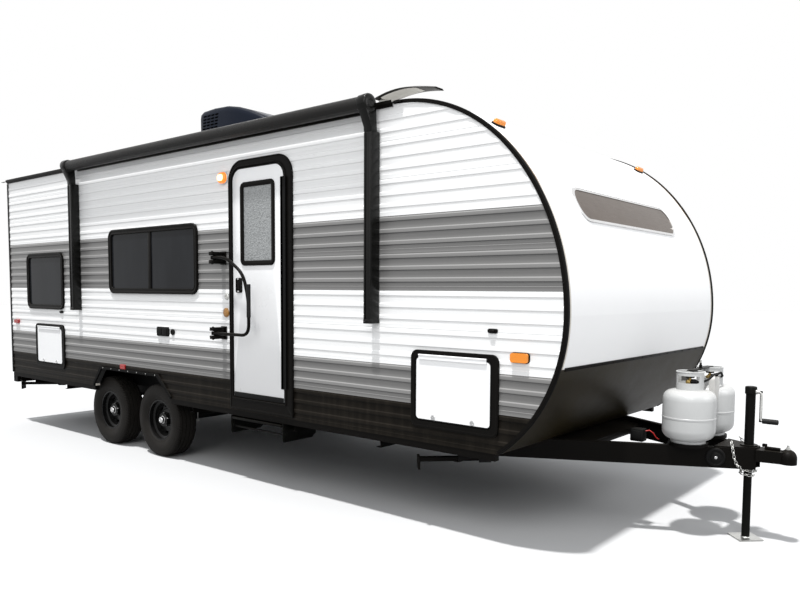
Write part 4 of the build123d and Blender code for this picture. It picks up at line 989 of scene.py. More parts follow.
@dataclass
class Shell:
    """The cabin's outside: siding, nose, guard, roof and their trims."""

    screw_pitch: float = 148.0
    corner_screws: int = 14
    arch_height: float = 762.0
    trim_width: float = 18.0
    corner_width: float = 26.0
    corner_top: float = ROOF_EDGE - 34
    guard_top: float = 1094.0
    guard_half: float = 1150.0
    guard_side: float = 1192.0
    guard_proud: float = 3.4

    def build(self) -> None:
        """Dresses the shell and adds its screws, seams and covers."""
        dress(WHITE_SIDING, "siding_white")
        dress(GREY_SIDING, "siding_grey")
        dress(BLACK_SIDING, "siding_black")
        dress(SHELL, "front_panel")
        dress(GUARD, "rock_guard")
        dress(ROOF, "roof_panel")
        dress(ROOM, "floor_deck", "wall_right", "wall_left", "wall_rear")
        dress(TRIM, "gutter_rails")
        dress(WELL, "wheel_wells")
        self.nose_beads()
        self.trim_screws()
        self.guard_edge()
        self.guard_margins()
        self.roof_seams()
        self.arch_lips()

    def nose_line(self, proud: float, inset: float = 0.0) -> list[tuple[float, float]]:
        """Gives the nose's outline from the roof to the floor as (x, z) points."""
        arcs = ((BROW, 90.0, 45.0), (NOSE, 45.0, 0.0), (CHIN, 0.0, -55.0))
        points = []
        for (x, z, radius), start, end in arcs:
            for step in range(25):
                angle = radians(start + (end - start) * step / 24)
                reach = radius + proud - inset
                points.append((x + reach * cos(angle), z + reach * sin(angle)))
        return points

    def nose_beads(self) -> None:
        """Builds the slim angle round the nose and down the rear corners, with its soft vinyl bead."""
        trim = Shape("slim_edge_trim")
        beads = Shape("nose_beads")
        low = BODY_BOTTOM - 0.5
        back, face, top = -self.trim_width, HALF + 4, self.corner_top
        section = ((3.0, HALF - 30), (3.0, face), (back, face), (back, HALF), (0.2, HALF), (0.2, HALF - 30))
        lines = [[(x, z) for x, z in self.nose_line(proud) if z > low] for proud, _ in section]
        for hand in SIDES:
            rings = []
            for spots in zip(*lines):
                rings.append([(x, hand * y, z) for (x, z), (_, y) in zip(spots, section)])
            trim.rings(rings)
            trim.block((-4, hand * (HALF - 0.5), BODY_BOTTOM), (self.corner_width, hand * face, top), 0.8)
            trim.block((-4, hand * (HALF - 36), BODY_BOTTOM), (-0.1, hand * face, top), 0.8)
            beads.bar([(x, hand * (HALF - 9), z) for x, z in self.nose_line(3.0) if z > low], 5.0, 8)
        trim.piece(TRIM, replaces=("edge_trim",))
        beads.piece(SEAL, sharp=60.0)

    def trim_screws(self) -> None:
        """Adds the screws along the side flanges of the nose trim and the rear corners."""
        shape = Shape("trim_screws")
        for hand in SIDES:
            line = [(x, z) for x, z in self.nose_line(0.0, self.trim_width / 2 + 1) if z > BODY_BOTTOM + 10]
            travelled = 0.0
            for (x0, z0), (x1, z1) in zip(line, line[1:]):
                travelled += hypot(x1 - x0, z1 - z0)
                if travelled > self.screw_pitch:
                    travelled = 0.0
                    shape.screw((x1, hand * (HALF + 4), z1), (0, hand, 0), 4.0)
            for index in range(self.corner_screws):
                height = BODY_BOTTOM + 30 + index * self.screw_pitch
                shape.screw((12, hand * (HALF + 4), height), (0, hand, 0), 4.5)
        shape.piece(TRIM)

    def guard_edge(self) -> None:
        """Adds the strip with its screws along the rock guard's top."""
        shape = Shape("guard_strip")
        height = self.guard_top
        x = nose_x(height, 3.2)
        shape.block((x - 8, -self.guard_half, height - 12), (x + 3, self.guard_half, height + 8), 2.0)
        for index in range(16):
            shape.screw((x + 3, -1125 + index * 150, height - 2), FORWARD, 5.0)
        shape.piece(TRIM)

    def guard_margins(self) -> None:
        """Carries the rock guard on to the nose's side edges, from its top to the floor."""
        shape = Shape("guard_margins")
        x, z, radius = CHIN
        start, end = asin((self.guard_top - z) / radius), asin((BODY_BOTTOM + 2 - z) / radius)
        for hand in SIDES:
            near, far = hand * self.guard_half, hand * self.guard_side
            rings = []
            for step in range(17):
                turn = start + (end - start) * step / 16
                on_x, on_z = x + radius * cos(turn), z + radius * sin(turn)
                off_x, off_z = on_x + self.guard_proud * cos(turn), on_z + self.guard_proud * sin(turn)
                rings.append([(off_x, near, off_z), (off_x, far, off_z), (on_x, far, on_z), (on_x, near, on_z)])
            shape.rings(rings)
        shape.piece(GUARD)

    def roof_seams(self) -> None:
        """Adds the lap sealant where the roof sheet ends at the nose and at the rear."""
        shape = Shape("roof_sealant")
        for x, crown in ((26.0, 160.0), (SHOULDER_X - 16.0, 8.0)):
            points = []
            for step in range(33):
                y = -1190 + 2380 * step / 32
                points.append((x + 2.5 * sin(step * 2.1), y, ROOF_EDGE + 5 + roof_lift(y, crown)))
            shape.bar(points, 9.0, 8)
        shape.piece(VENT, sharp=60.0)

    def arch_lips(self) -> None:
        """Adds the screws along the flared wheel-arch lips."""
        shape = Shape("arch_screws")
        for hand in SIDES:
            for x in range(2040, 2960, 150):
                shape.screw((x, hand * (HALF + 12), self.arch_height), (0, hand, 0), 5.0)
        shape.piece(ZINC)


@dataclass
class Window:
    """One framed window: outer moulding, gasket and divider."""

    name: str
    hand: int
    hole: Rect
    divided: bool

    def build(self) -> None:
        """Adds the moulding, the gasket and the divider."""
        face = flank(self.hand, HALF + 14)
        outer = self.hole.grown(18, self.hole.corner + 18)
        shape = Shape(f"window_bead_{self.name}")
        shape.moulding(outer, face, [(0, -4), (1, 0), (5, 3.5), (14, 4), (22, 2), (26, -2)], steps=10)
        shape.moulding(outer, face, [(36, -12), (34, 0), (38, 2), (44, 0), (47, -8), (47, -15)], steps=10)
        if self.divided:
            middle = (self.hole.left + self.hole.right) / 2 - 15
            back = (middle - 24, self.hand * (HALF - 1), self.hole.low + 22)
            front = (middle + 24, self.hand * (HALF + 9), self.hole.high - 22)
            shape.block(back, front, 3.0)
        shape.piece(TRIM, sharp=50.0)


@dataclass
class EntryDoor:
    """The entry door: its frame, leaf and seal, hinge, window ring, lock set, rivets and porch lamp."""

    leaf: Rect = Rect(4066, 4668, 686, 2439, 100, 3)
    frame: Rect = Rect(4018, 4755, 590, 2502, 158, 3)
    window: Rect = Rect(4171, 4568, 1702, 2329, 45)
    latch: tuple[float, float] = (4147.0, 1552.0)
    hinge: tuple[float, float] = (4690.0, -1240.0)
    hinge_rows: tuple[float, float] = (791.0, 2334.0)
    leaf_face: float = HALF + 11

    def build(self) -> None:
        """Builds the door and its parts."""
        dress(FROST, "door_glass")
        self.door_frame()
        self.door_leaf()
        self.window_ring()
        self.lock_set()
        self.rivets()
        self.porch_lamp()

    def door_frame(self) -> None:
        """Builds the frame: a bead outside, a flat flange, a bead at the leaf and the liner through the wall."""
        shape = Shape("arched_door_frame")
        hole = Rect(4060, 4674, 680, 2445, 106, 3)
        section = [(self.frame, 0, 0), (self.frame, 0, 11), (self.frame, 3, 15), (self.frame, 10, 16)]
        section += [(self.frame, 13, 11), (hole, -14, 10), (hole, -12, 15), (hole, -8, 18), (hole, -3, 17)]
        section += [(hole, 0, 12), (hole, 0, -48), (hole, -8, -48), (hole, -8, 0)]
        shape.band(section, flank(-1), steps=12)
        shape.piece(TRIM, replaces=("door_frame",), sharp=50.0)

    def door_leaf(self) -> None:
        """Builds the leaf with its window opening, the seal on its edge and the long hinge."""
        face = flank(-1, self.leaf_face)
        hole = Rect(4196, 4543, 1727, 2304, 30)
        leaf = Shape("door_leaf")
        leaf.band([(self.leaf, 0, -40), (self.leaf, 0, -1), (self.leaf, 1, 0), (hole, 0, 0), (hole, 0, -40)], face)
        leaf.piece(DOOR, "entry_door", ("entry_door",), sharp=50.0)
        edge = Shape("door_edge_seal")
        edge.moulding(self.leaf, face, [(-1.5, -20), (-1.5, 0.5), (2, 2.5), (6, 2), (7, -1), (7, -20)], steps=12)
        edge.block((4076, -(self.leaf_face + 3), 688), (4658, -self.leaf_face + 1, 724), 2.0)
        edge.piece(SEAL, "entry_door", sharp=50.0)
        hinge = Shape("door_hinge")
        x, y = self.hinge
        low, high = self.hinge_rows
        hinge.turned((x, y, low), UPWARD, [(0, 5.7), (high - low, 5.7)], 16)
        hinge.block((4641, y - 2.5, low), (x, y + 0.5, high), 0.8)
        hinge.block((4641, y - 2.5, low), (4667, -self.leaf_face + 1, high), 0.8)
        hinge.piece(SEAL, "entry_door")

    def window_ring(self) -> None:
        """Adds the ring round the door's window."""
        shape = Shape("door_window_ring")
        face = flank(-1, self.leaf_face)
        section = [(-1, -1), (-1, 5), (3, 10.5), (12, 12), (28, 9.5), (36, 6), (38, -4), (46, -8), (46, -12)]
        shape.moulding(self.window, face, section, steps=10)
        shape.piece(TRIM, "entry_door", sharp=50.0)

    def lock_set(self) -> None:
        """Adds the paddle, its recess and the two key cylinders."""
        u, v = self.latch
        face = flank(-1, self.leaf_face)
        shape = Shape("door_lock")
        plate = Rect.about(u, v, 35, 57, 16)
        cup = Rect(u - 22, u + 20, v - 40, v + 40, 9)
        section = [(plate, 0, -1), (plate, 0, 11), (plate, 4, 14)]
        section += [(cup, -3, 14), (cup, 0, 12), (cup, 0, 3), (cup, 12, 3)]
        shape.band(section, face, closed=False)
        shape.panel(Rect.about(u, v, 14, 34, 7), face, [(0, 2), (0, 9), (4, 13)])
        shape.piece(TRIM, "entry_door", sharp=45.0)
        keys = Shape("door_keys")
        for height in (v - 47, v + 48):
            keys.turned(face.at(u, height, 12), face.outward, [(0, 7), (3.5, 7), (4.5, 6), (4.5, 3), (2, 2.5)], 20)
        keys.piece(CHROME, "entry_door")

    def rivets(self) -> None:
        """Adds the rivets down the hinge plate and round the frame."""
        shape = Shape("door_rivets")
        face = flank(-1, HALF + 15)
        for index in range(24):
            shape.screw(face.at(4733, 650 + index * 76, -4.0), face.outward, 3.6)
        for index in range(8):
            shape.screw(face.at(4034, 700 + index * 235, -4.0), face.outward, 4.2)
        shape.piece(TRIM)

    def porch_lamp(self) -> None:
        """Adds the lit lamp beside the door: a base, the lens on it and its bright middle."""
        face = flank(-1, HALF + 2)
        outline = Rect(3889, 4001, 2341, 2433, 44)
        Shape("porch_lamp_base").panel(outline, face, [(0, -4), (0, 6), (4, 9), (12, 10)], steps=10).piece(ZINC)
        lens = Shape("porch_lamp_lens")
        lens.panel(outline, face, [(3, 8), (3, 14), (6, 22), (13, 29), (22, 33)], steps=12)
        lens.piece(PORCH, sharp=60.0)
        glow = Shape("porch_lamp_glow")
        glow.panel(outline, face, [(20, 30), (21, 34), (26, 36.5), (34, 38)], steps=12)
        glow.piece(HOT, sharp=60.0)


@dataclass
class GrabHandle:
    """The folding grab handle: its brackets, bent bar, ribbed grip and bolts."""

    x: float = 3932.0
    y: float = -1323.0
    reach: float = 440.0
    rows: tuple[float, float] = (1177.0, 1765.0)
    bend: float = 170.0

    def build(self) -> None:
        """Builds the handle's parts."""
        self.brackets()
        self.bent_bar()
        self.grip()
        self.bolts()

    def brackets(self) -> None:
        """Builds the two brackets: each a plate, two lugs and the block between them."""
        lugs = Shape("bracket_lugs")
        for row in self.rows:
            lugs.block((self.x - 34, -(HALF + 8), row - 52), (self.x + 40, -(HALF + 0.3), row + 52), 4.0)
            for low, high in ((row + 18, row + 46), (row - 46, row - 18)):
                lugs.block((self.x - 24, self.y - 18, low), (self.x + 26, -(HALF + 6), high), 5.0)
            lugs.block((self.x - 22, self.y + 19, row - 20), (self.x + 24, -(HALF + 6), row + 20), 1.0)
        lugs.piece(TRIM, replaces=("grab_brackets",))

    def bent_bar(self) -> None:
        """Builds the bent bar and the sleeves that turn in the brackets."""
        low, high = self.rows
        corners = [(0, high), (170, high), (self.reach - 60, high - 130), (self.reach, high - 330), (self.reach, low)]
        corners.append((0, low))
        bar = Shape("bent_handle")
        bar.bar([(self.x + u, self.y + 2, v) for u, v in self.rounded(corners)], 12.5, 16)
        for row in self.rows:
            bar.turned((self.x, self.y + 2, row - 14), UPWARD, [(0, 15), (28, 15)], 20)
        bar.piece(TRIM, "grab_handle", ("grab_handle",), sharp=60.0)

    def grip(self) -> None:
        """Builds the ribbed grip on the bar's outer run."""
        profile = [(0, 12.6), (2, 15.5)] + grooved(17, 14, 15.6, 14.9) + [(246, 15.5), (248, 12.6)]
        grip = Shape("handle_grip").turned((self.x + self.reach, self.y + 2, 1312), UPWARD, profile, 24)
        grip.piece(GRIP, "grab_handle", sharp=60.0)

    def bolts(self) -> None:
        """Builds the brackets' screws and the capped ends of the pivots."""
        bolts = Shape("handle_bolts")
        for row in self.rows:
            for x in (self.x - 29, self.x + 33):
                bolts.screw((x, -(HALF + 6), row), (0, -1, 0), 6.0)
            for side, height in ((1, row + 46), (-1, row - 46)):
                bolts.turned((self.x, self.y, height), (0, 0, side), [(-1, 9), (3, 9), (6, 6), (7, 0)], 16)
        bolts.piece(TRIM)

    def rounded(self, corners: Points, steps: int = 6) -> Points:
        """Rounds the inner corners of a line.

        Args:
            corners: The line's corners as (u, v) points.
            steps: Points in each rounded corner.

        Returns:
            The line's points with every inner corner drawn round.
        """
        points = [corners[0]]
        for before, corner, after in zip(corners, corners[1:], corners[2:]):
            first = (Vector(before) - Vector(corner)).normalized()
            second = (Vector(after) - Vector(corner)).normalized()
            reach = self.bend / 2
            for step in range(steps + 1):
                share = step / steps
                spot = Vector(corner) + first * reach * (1 - share) ** 2 + second * reach * share**2
                points.append((spot.x, spot.y))
        return points + [corners[-1]]


@dataclass
class Hatch:
    """One luggage hatch: leaf seal, frame bead, thumb locks, screws and holdback catch."""

    name: str
    hand: int
    hole: Rect
    catch: tuple[float, float]

    def build(self) -> None:
        """Dresses the leaf and adds its parts."""
        dress(DOOR, self.name)
        leaf = Rect(self.hole.left + 19, self.hole.right - 31, self.hole.low + 28, self.hole.high - 22, 30)
        face = flank(self.hand, HALF + 10)
        seal = Shape(f"{self.name}_edge")
        seal.moulding(leaf, face, [(-1.5, -14), (-1.5, 0.5), (2, 2), (6, 1.5), (7, -1), (7, -14)], steps=8)
        seal.piece(SEAL, self.name, sharp=50.0)
        bead = Shape(f"{self.name}_frame_bead")
        outer = self.hole.grown(18, 48)
        bead.moulding(outer, flank(self.hand, HALF + 12), [(-1, -11), (-1, -2), (3, 1), (12, 1.5), (16, -1)], steps=8)
        bead.piece(TRIM, sharp=50.0)
        locks = Shape(f"{self.name}_locks")
        for share in (0.25, 0.77):
            u = leaf.left + (leaf.right - leaf.left) * share
            v = leaf.low + 24
            locks.turned(face.at(u, v), face.outward, [(-1, 17), (3, 17), (5, 14), (5, 10), (2.5, 9), (2.5, 0)], 28)
            locks.slab([(u - 3, v - 12), (u + 3, v - 12), (u + 3, v + 12), (u - 3, v + 12)], face, 2.0, 9.0)
        locks.piece(CHROME, self.name)
        self.screws().piece(TRIM)

    def screws(self) -> Shape:
        """Builds the frame's screws and the holdback catch on the wall above."""
        shape = Shape(f"{self.name}_screws")
        face = flank(self.hand, HALF + 12)
        for index in range(6):
            u = self.hole.left + (self.hole.right - self.hole.left) * index / 5
            shape.screw(face.at(u, self.hole.low - 8, 0.5), face.outward, 4.0)
            if index not in (0, 5):
                shape.screw(face.at(u, self.hole.high + 10, 0.5), face.outward, 4.0)
        u, v = self.catch
        wall = flank(self.hand, HALF)
        shape.panel(Rect.about(u, v, 34, 13, 12), wall, [(0, -3), (0, 5), (3, 8), (9, 9)])
        shape.panel(Rect.about(u, v, 18, 6, 5), wall, [(0, 8), (1, 17), (4, 20)])
        return shape


@dataclass
class SideFittings:
    """The small service fittings on the door side."""

    cover: Rect = Rect(2980, 3160, 1112, 1192, 14)
    inlet: tuple[float, float] = (3215.0, 1153.0)
    lock: tuple[float, float] = (3973.0, 1464.0)
    reflector: tuple[float, float] = (3964.0, 1338.0)
    red_reflector: tuple[float, float] = (2387.0, 794.0)

    def build(self) -> None:
        """Adds the outlet cover, inlet, key plate and reflectors."""
        face = flank(-1, HALF)
        shape = Shape("outlet_cover")
        shape.panel(self.cover, face, [(0, -4), (0, 9), (3, 13), (9, 14)])
        for left, right in ((2992, 3066), (3074, 3148)):
            shape.panel(Rect(left, right, 1122, 1182, 8), face, [(0, 13), (1, 19), (5, 21)])
        profile = [(0, 26), (11, 26), (14, 23), (15, 15), (11, 14), (11, 0)]
        shape.turned(face.at(*self.inlet, -3), face.outward, profile, 32)
        shape.piece(SEAL)
        key = Shape("key_plate")
        profile = [(-3, 24), (5, 24), (8, 21), (9, 13), (6, 12), (6, 0)]
        key.turned(face.at(*self.lock), face.outward, profile, 28)
        key.piece(ZINC)
        amber = Shape("amber_reflector")
        amber.turned(face.at(*self.reflector), face.outward, [(-3, 36), (6, 36), (10, 31), (12, 18), (12.5, 0)], 32)
        # Its faint glow is painted light: a reflector is no lamp.
        amber.piece(DULL_AMBER)
        red = Shape("red_reflector")
        u, v = self.red_reflector
        red.panel(Rect.about(u, v, 44, 24, 8), face, [(0, -4), (0, 7), (3, 9), (10, 9)])
        # Its faint glow is painted light: a reflector is no lamp.
        red.piece(RED)


@dataclass
class Awning:
    """Rolled awning: the cloth roll, its two uprights with their heads and ridges, and the rail behind it."""

    y: float = -1314.0
    z: float = 2697.2
    start: float = 1638.5
    end: float = 5516.5
    radius: float = 50.0
    arms: tuple[float, float] = (1600.0, 5555.0)
    arm_low: float = 1312.0

    def build(self) -> None:
        """Builds the awning's parts."""
        self.roll()
        self.arms_and_heads()
        self.ridges()
        self.rail()

    def roll(self) -> None:
        """Builds the rolled cloth, its last turn ending in a step along the roll."""
        rings = []
        count = 60
        for share in (0.0, 0.004, 0.25, 0.5, 0.75, 0.996, 1.0):
            x = self.start + (self.end - self.start) * share
            tuck = 3.0 if share in (0.0, 1.0) else 0.0
            ring = []
            for i in range(count):
                angle = 2 * pi * i / count - 2.2
                radius = self.radius - 3.2 - tuck + 3.0 * i / count
                ring.append((x, self.y + radius * cos(angle), self.z + radius * sin(angle)))
            rings.append(ring)
        Shape("cloth_roll").rings(rings).piece(CLOTH, replaces=("awning_roller",), sharp=50.0)

    def arms_and_heads(self) -> None:
        """Builds the two uprights and the heads that carry the roll: a drum on a funnel-shaped neck."""
        shape = Shape("awning_uprights")
        for x, side in zip(self.arms, (-1, 1)):
            shape.block((x - 32, -(HALF + 80), self.arm_low), (x + 32, -(HALF + 0.3), self.z - 168), 4.0)
            neck = [(-(HALF + 30), self.z - 172), (-(HALF + 82), self.z - 172), (-(HALF + 84), self.z - 140)]
            neck += [(-(HALF + 140), self.z - 26), (-(HALF + 120), self.z + 20), (-(HALF + 40), self.z + 10)]
            face = Face(Facing.FRONT, x)
            shape.slab(neck, face, -34, 34)
            profile = [(-42, 40), (-40, 52), (-36, 58), (26, 59), (34, 55), (40, 44), (42, 22), (38, 20), (38, 0)]
            shape.turned((x, self.y, self.z), (side, 0, 0), profile, 40)
        shape.piece(ARM, replaces=("awning_arms",), bevel=3.0)

    def ridges(self) -> None:
        """Adds the ridges of the drawn uprights, their feet and bolts."""
        shape = Shape("arm_ridges")
        face = flank(-1, HALF + 80)
        for x in self.arms:
            for off in (-24, 24):
                rect = Rect(x + off - 7, x + off + 7, self.arm_low + 10, self.z - 176, 3)
                shape.panel(rect, face, [(0, -1), (0.5, 3.5), (2, 4.5)], steps=3)
            rect = Rect(x - 34, x + 34, self.arm_low - 6, self.arm_low + 22, 6)
            shape.panel(rect, face, [(0, -78), (0, 3), (3, 6), (10, 7)])
        shape.piece(ARM)
        bolts = Shape("arm_bolts")
        foot = flank(-1, HALF + 86)
        for x in self.arms:
            bolts.bolt(foot.at(x, self.arm_low + 8), foot.outward, 9.0, washer=False)
        bolts.piece(SEAL)

    def rail(self) -> None:
        """Adds the rail on the wall behind the roll."""
        shape = Shape("awning_rail")
        low = self.z - 44
        shape.block((self.start + 12, -(HALF + 26), low), (self.end - 12, -(HALF + 6), low + 26), 4.0)
        shape.piece(TRIM)


@dataclass
class RoofGear:
    """What stands on the roof: the cooler, the vents' curbs and ribs, the plumbing caps and the aerial.

    The cooler's stations each give x, half width and height of its top.
    """

    base: float = ROOF_EDGE + 166.0
    stations: tuple[tuple[float, float, float], ...] = (
        (2326.0, 290.0, 3268.0),
        (2340.0, 306.0, 3288.0),
        (2380.0, 312.0, 3300.0),
        (2560.0, 312.0, 3310.0),
        (2760.0, 312.0, 3302.0),
        (2900.0, 296.0, 3276.0),
        (3040.0, 268.0, 3232.0),
        (3170.0, 240.0, 3178.0),
        (3240.0, 222.0, 3142.0),
        (3254.0, 212.0, 3122.0),
    )
    vents: tuple[float, float] = (1150.0, 4560.0)

    def build(self) -> None:
        """Builds the cooler, curbs, aerial, plumbing caps and the ribs of the vents' lids."""
        dress(LID, "vent_lid_front", "vent_lid_rear")
        self.unit()
        self.curbs()
        self.aerial()
        self.plumbing_caps()
        self.lid_ribs()

    def plumbing_caps(self) -> None:
        """Builds the two plumbing vents' caps."""
        caps = Shape("plumbing_caps")
        for x, y in ((1850.0, 420.0), (3900.0, -380.0)):
            base = ROOF_EDGE + 4 + roof_lift(y)
            profile = [(-6, 62), (4, 60), (8, 30), (34, 28), (36, 46), (44, 48), (52, 40), (56, 0)]
            caps.turned((x, y, base), UPWARD, profile, 32)
        caps.piece(VENT)

    def lid_ribs(self) -> None:
        """Builds the ribs on the vents' lids."""
        for name, x in zip(("vent_lid_rear", "vent_lid_front"), self.vents):
            ribs = Shape(f"{name}_ribs")
            for off in (-90, -30, 30, 90):
                ribs.block((x - 130, off - 5, 2944), (x + 130, off + 5, 2951), 2.5)
            ribs.piece(LID, name)

    def unit(self) -> None:
        """Builds the cooler's wedge-shaped cover on its pad, with its blades, its seam and its louvres, drawn as
        near-black slivers of painted shade.
        """
        cover = Shape("cooler_cover")
        rings = []
        for x, half, top in self.stations:
            corner = [(half, self.base), (half + 2, top - 60), (half - 4, top - 26)]
            corner += [(half - 18, top - 8), (half - 44, top)]
            rings.append([(x, y, z) for y, z in corner + [(-y, z) for y, z in reversed(corner)]])
        cover.rings(rings)
        pad = Rect(2480, 3100, -200, 200, 10)
        cover.panel(pad, Face(Facing.UP, self.base), [(0, -20), (0, 2), (2, 4)])
        cover.piece(UNIT, replaces=("roof_air_unit",), sharp=50.0)
        # The louvres are thin near-black slivers on the cover: painted shade for the openings.
        slots = Shape("cooler_louvres")
        slit = [(0, -4), (0, 0.3), (1, 0.4)]
        blades = Shape("cooler_blades")
        for hand in SIDES:
            face = flank(hand, 314.5)
            for row in range(6):
                for column in range(4):
                    u = 2372 + column * 64 + row * 5
                    v = 3080 + row * 30
                    slots.panel(Rect(u, u + 50, v, v + 14, 6), face, slit, steps=3)
                    blades.block((u + 2, hand * 314, v + 13), (u + 48, hand * 318, v + 16), 1.0)
            for column in range(12):
                u = 2400 + column * 34
                slots.panel(Rect(u, u + 20, 2950, 2980, 6), face, slit, steps=3)
        slots.piece(PAINTED_OPENING_SHADE)
        blades.piece(UNIT)
        seam = Shape("cooler_seam")
        for hand in SIDES:
            line = [(x + 2, hand * (half + 3), self.base + 40) for x, half, _ in self.stations[1:-1]]
            seam.bar(line, 4.0, 8)
        seam.piece(SEAL, sharp=60.0)

    def curbs(self) -> None:
        """Builds the two vent curbs with their flanges on the roof sheet."""
        shape = Shape("vent_curbs")
        level = ROOF_EDGE + 150.0
        for x in self.vents:
            outer = Rect.about(x, 0, 205, 205, 14)
            section = [(outer, -30, 0), (outer, -30, 15), (outer, 0, 17), (outer, 0, 50), (outer, 4, 53)]
            section += [(outer, 22, 53), (outer, 25, 50), (outer, 25, 0)]
            shape.band(section, Face(Facing.UP, level), steps=5)
        shape.piece(VENT, replaces=("roof_fittings",), sharp=50.0)

    def aerial(self) -> None:
        """Builds the folded aerial: a post, a thin swept wing and the pale pod under it."""
        x, y, low, level = 5060.0, -600.0, ROOF_EDGE + 100.0, 2932.0
        length, bow = 545, 34
        wing = Shape("aerial_wing")
        rings = []
        for step in range(13):
            share = step / 12
            at = x - 20 + length * share
            rise = bow * sin(pi * share)
            wide = 100 * (0.55 + 0.45 * sin(pi * min(1.0, 0.25 + share * 0.75)))
            thick = 5 + 5 * share
            flat = wide * 0.7
            outline = ((-wide, 0), (-flat, thick), (flat, thick), (wide, 0), (flat, -3), (-flat, -3))
            rings.append([(at, y + v, level + rise + w) for v, w in outline])
        wing.rings(rings)
        wing.piece(TRIM, sharp=50.0)
        pod = Shape("aerial_pod")
        pod.turned((x, y, low), UPWARD, [(0, 56), (60, 52), (level - low - 24, 40), (level - low, 34)], 28)
        rings = []
        for step in range(9):
            share = step / 8
            at = x + 30 + 330 * share
            drop = 20 * sin(pi * (0.15 + 0.8 * share))
            rise = bow * sin(pi * (50 + 330 * share) / length)
            outline = ((-70, 1), (70, 1), (50, -drop), (-50, -drop))
            rings.append([(at, y + v, level + rise + w) for v, w in outline])
        pod.rings(rings)
        pod.piece(VENT, sharp=50.0)


@dataclass
class EntryStep:
    """The fold-out step: its side plates and cross bar, and the nosing and studs of its tread."""

    ends: tuple[float, float] = (4022.0, 4620.0)
    plates: tuple[float, float] = (4010.0, 4626.0)
    plate_low: float = 388.0
    plate_top: float = 529.5
    plate_thick: float = 6.0
    stud_rows: int = 5
    stud_columns: int = 24

    def build(self) -> None:
        """Dresses the tread and adds the step's parts."""
        dress(STEP, "step_tread")
        self.side_plates()
        self.nosing_and_studs()

    def side_plates(self) -> None:
        """Builds the two side plates with their pivots and the bar across."""
        plates = Shape("step_plates")
        low, top, side = self.plate_low, self.plate_top, -HALF
        outline = [(side, low + 12), (side + 8, low), (side + 290, low), (side + 330, low + 32)]
        outline += [(side + 330, top), (side, top)]
        for x in self.plates:
            plates.slab(outline, Face(Facing.FRONT, x), 0, self.plate_thick)
            plates.turned((x - 3, side + 29, 441), FORWARD, [(0, 16), (12, 16)], 24)
        near, far = self.plates[0], self.plates[1] + self.plate_thick
        plates.block((near, side + 296, top - 20), (far, side + 326, top - 6), 2.0)
        plates.piece(STEP, replaces=("step_frame",), bevel=1.0)

    def nosing_and_studs(self) -> None:
        """Builds the tread's nosing and its rows of studs."""
        nosing = Shape("step_nosing")
        nosing.block((self.ends[0] + 4, -1222, 500), (self.ends[1] - 4, -1203, 517), 3.0)
        nosing.piece(STEP, "step_tread")
        studs = Shape("step_studs")
        for row in range(self.stud_rows):
            for column in range(self.stud_columns):
                spot = (self.ends[0] + 22 + column * 24, -1185 + row * 45, 513.5)
                studs.turned(spot, UPWARD, [(0, 5.5), (2, 4.5), (2.2, 3)], 8)
        studs.piece(STEP, "step_tread")


@dataclass
class Underside:
    """Axles, springs, stabilizers and the web between the tongue's rails."""

    clamp_half: tuple[float, float] = (55.0, 34.0)
    bolt_offs: tuple[float, float] = (40.0, 27.0)

    def build(self) -> None:
        """Dresses the running gear and adds the spring clamps and the web."""
        dress(AXLE, "axles", "stabilizer_brackets")
        dress(SPRING, "leaf_springs")
        for place in ("front_right", "front_left", "rear_right", "rear_left"):
            dress(FRAME_BLACK, f"stabilizer_{place}")
        self.clamps()
        self.web()

    def clamps(self) -> None:
        """Builds the plate, the four rods and the nuts that clamp each spring to its axle."""
        clamps = Shape("spring_clamps")
        half_x, half_y = self.clamp_half
        off_x, off_y = self.bolt_offs
        for x in AXLES:
            for hand in SIDES:
                y = hand * RAIL_Y
                clamps.block((x - half_x, y - half_y, 286), (x + half_x, y + half_y, 294), 2.0)
                for at_x in (x - off_x, x + off_x):
                    for at_y in (y - off_y, y + off_y):
                        clamps.bar([(at_x, at_y, 276), (at_x, at_y, 400)], 6.0, 10)
                        clamps.bolt((at_x, at_y, 286), (0, 0, -1), 16.0)
        clamps.piece(ZINC)

    def web(self) -> None:
        """Builds the sheet between the tongue's rails, with its folded front edge."""
        web = Shape("tongue_web")
        corners = [(6182, -748), (6680, -494), (6680, 494), (6182, 748)]
        web.slab(corners, Face(Facing.UP, 0.0), 536, 540)
        web.block((6640, -490, 500), (6680, 490, 536), 2.0)
        web.piece(FRAME_BLACK)


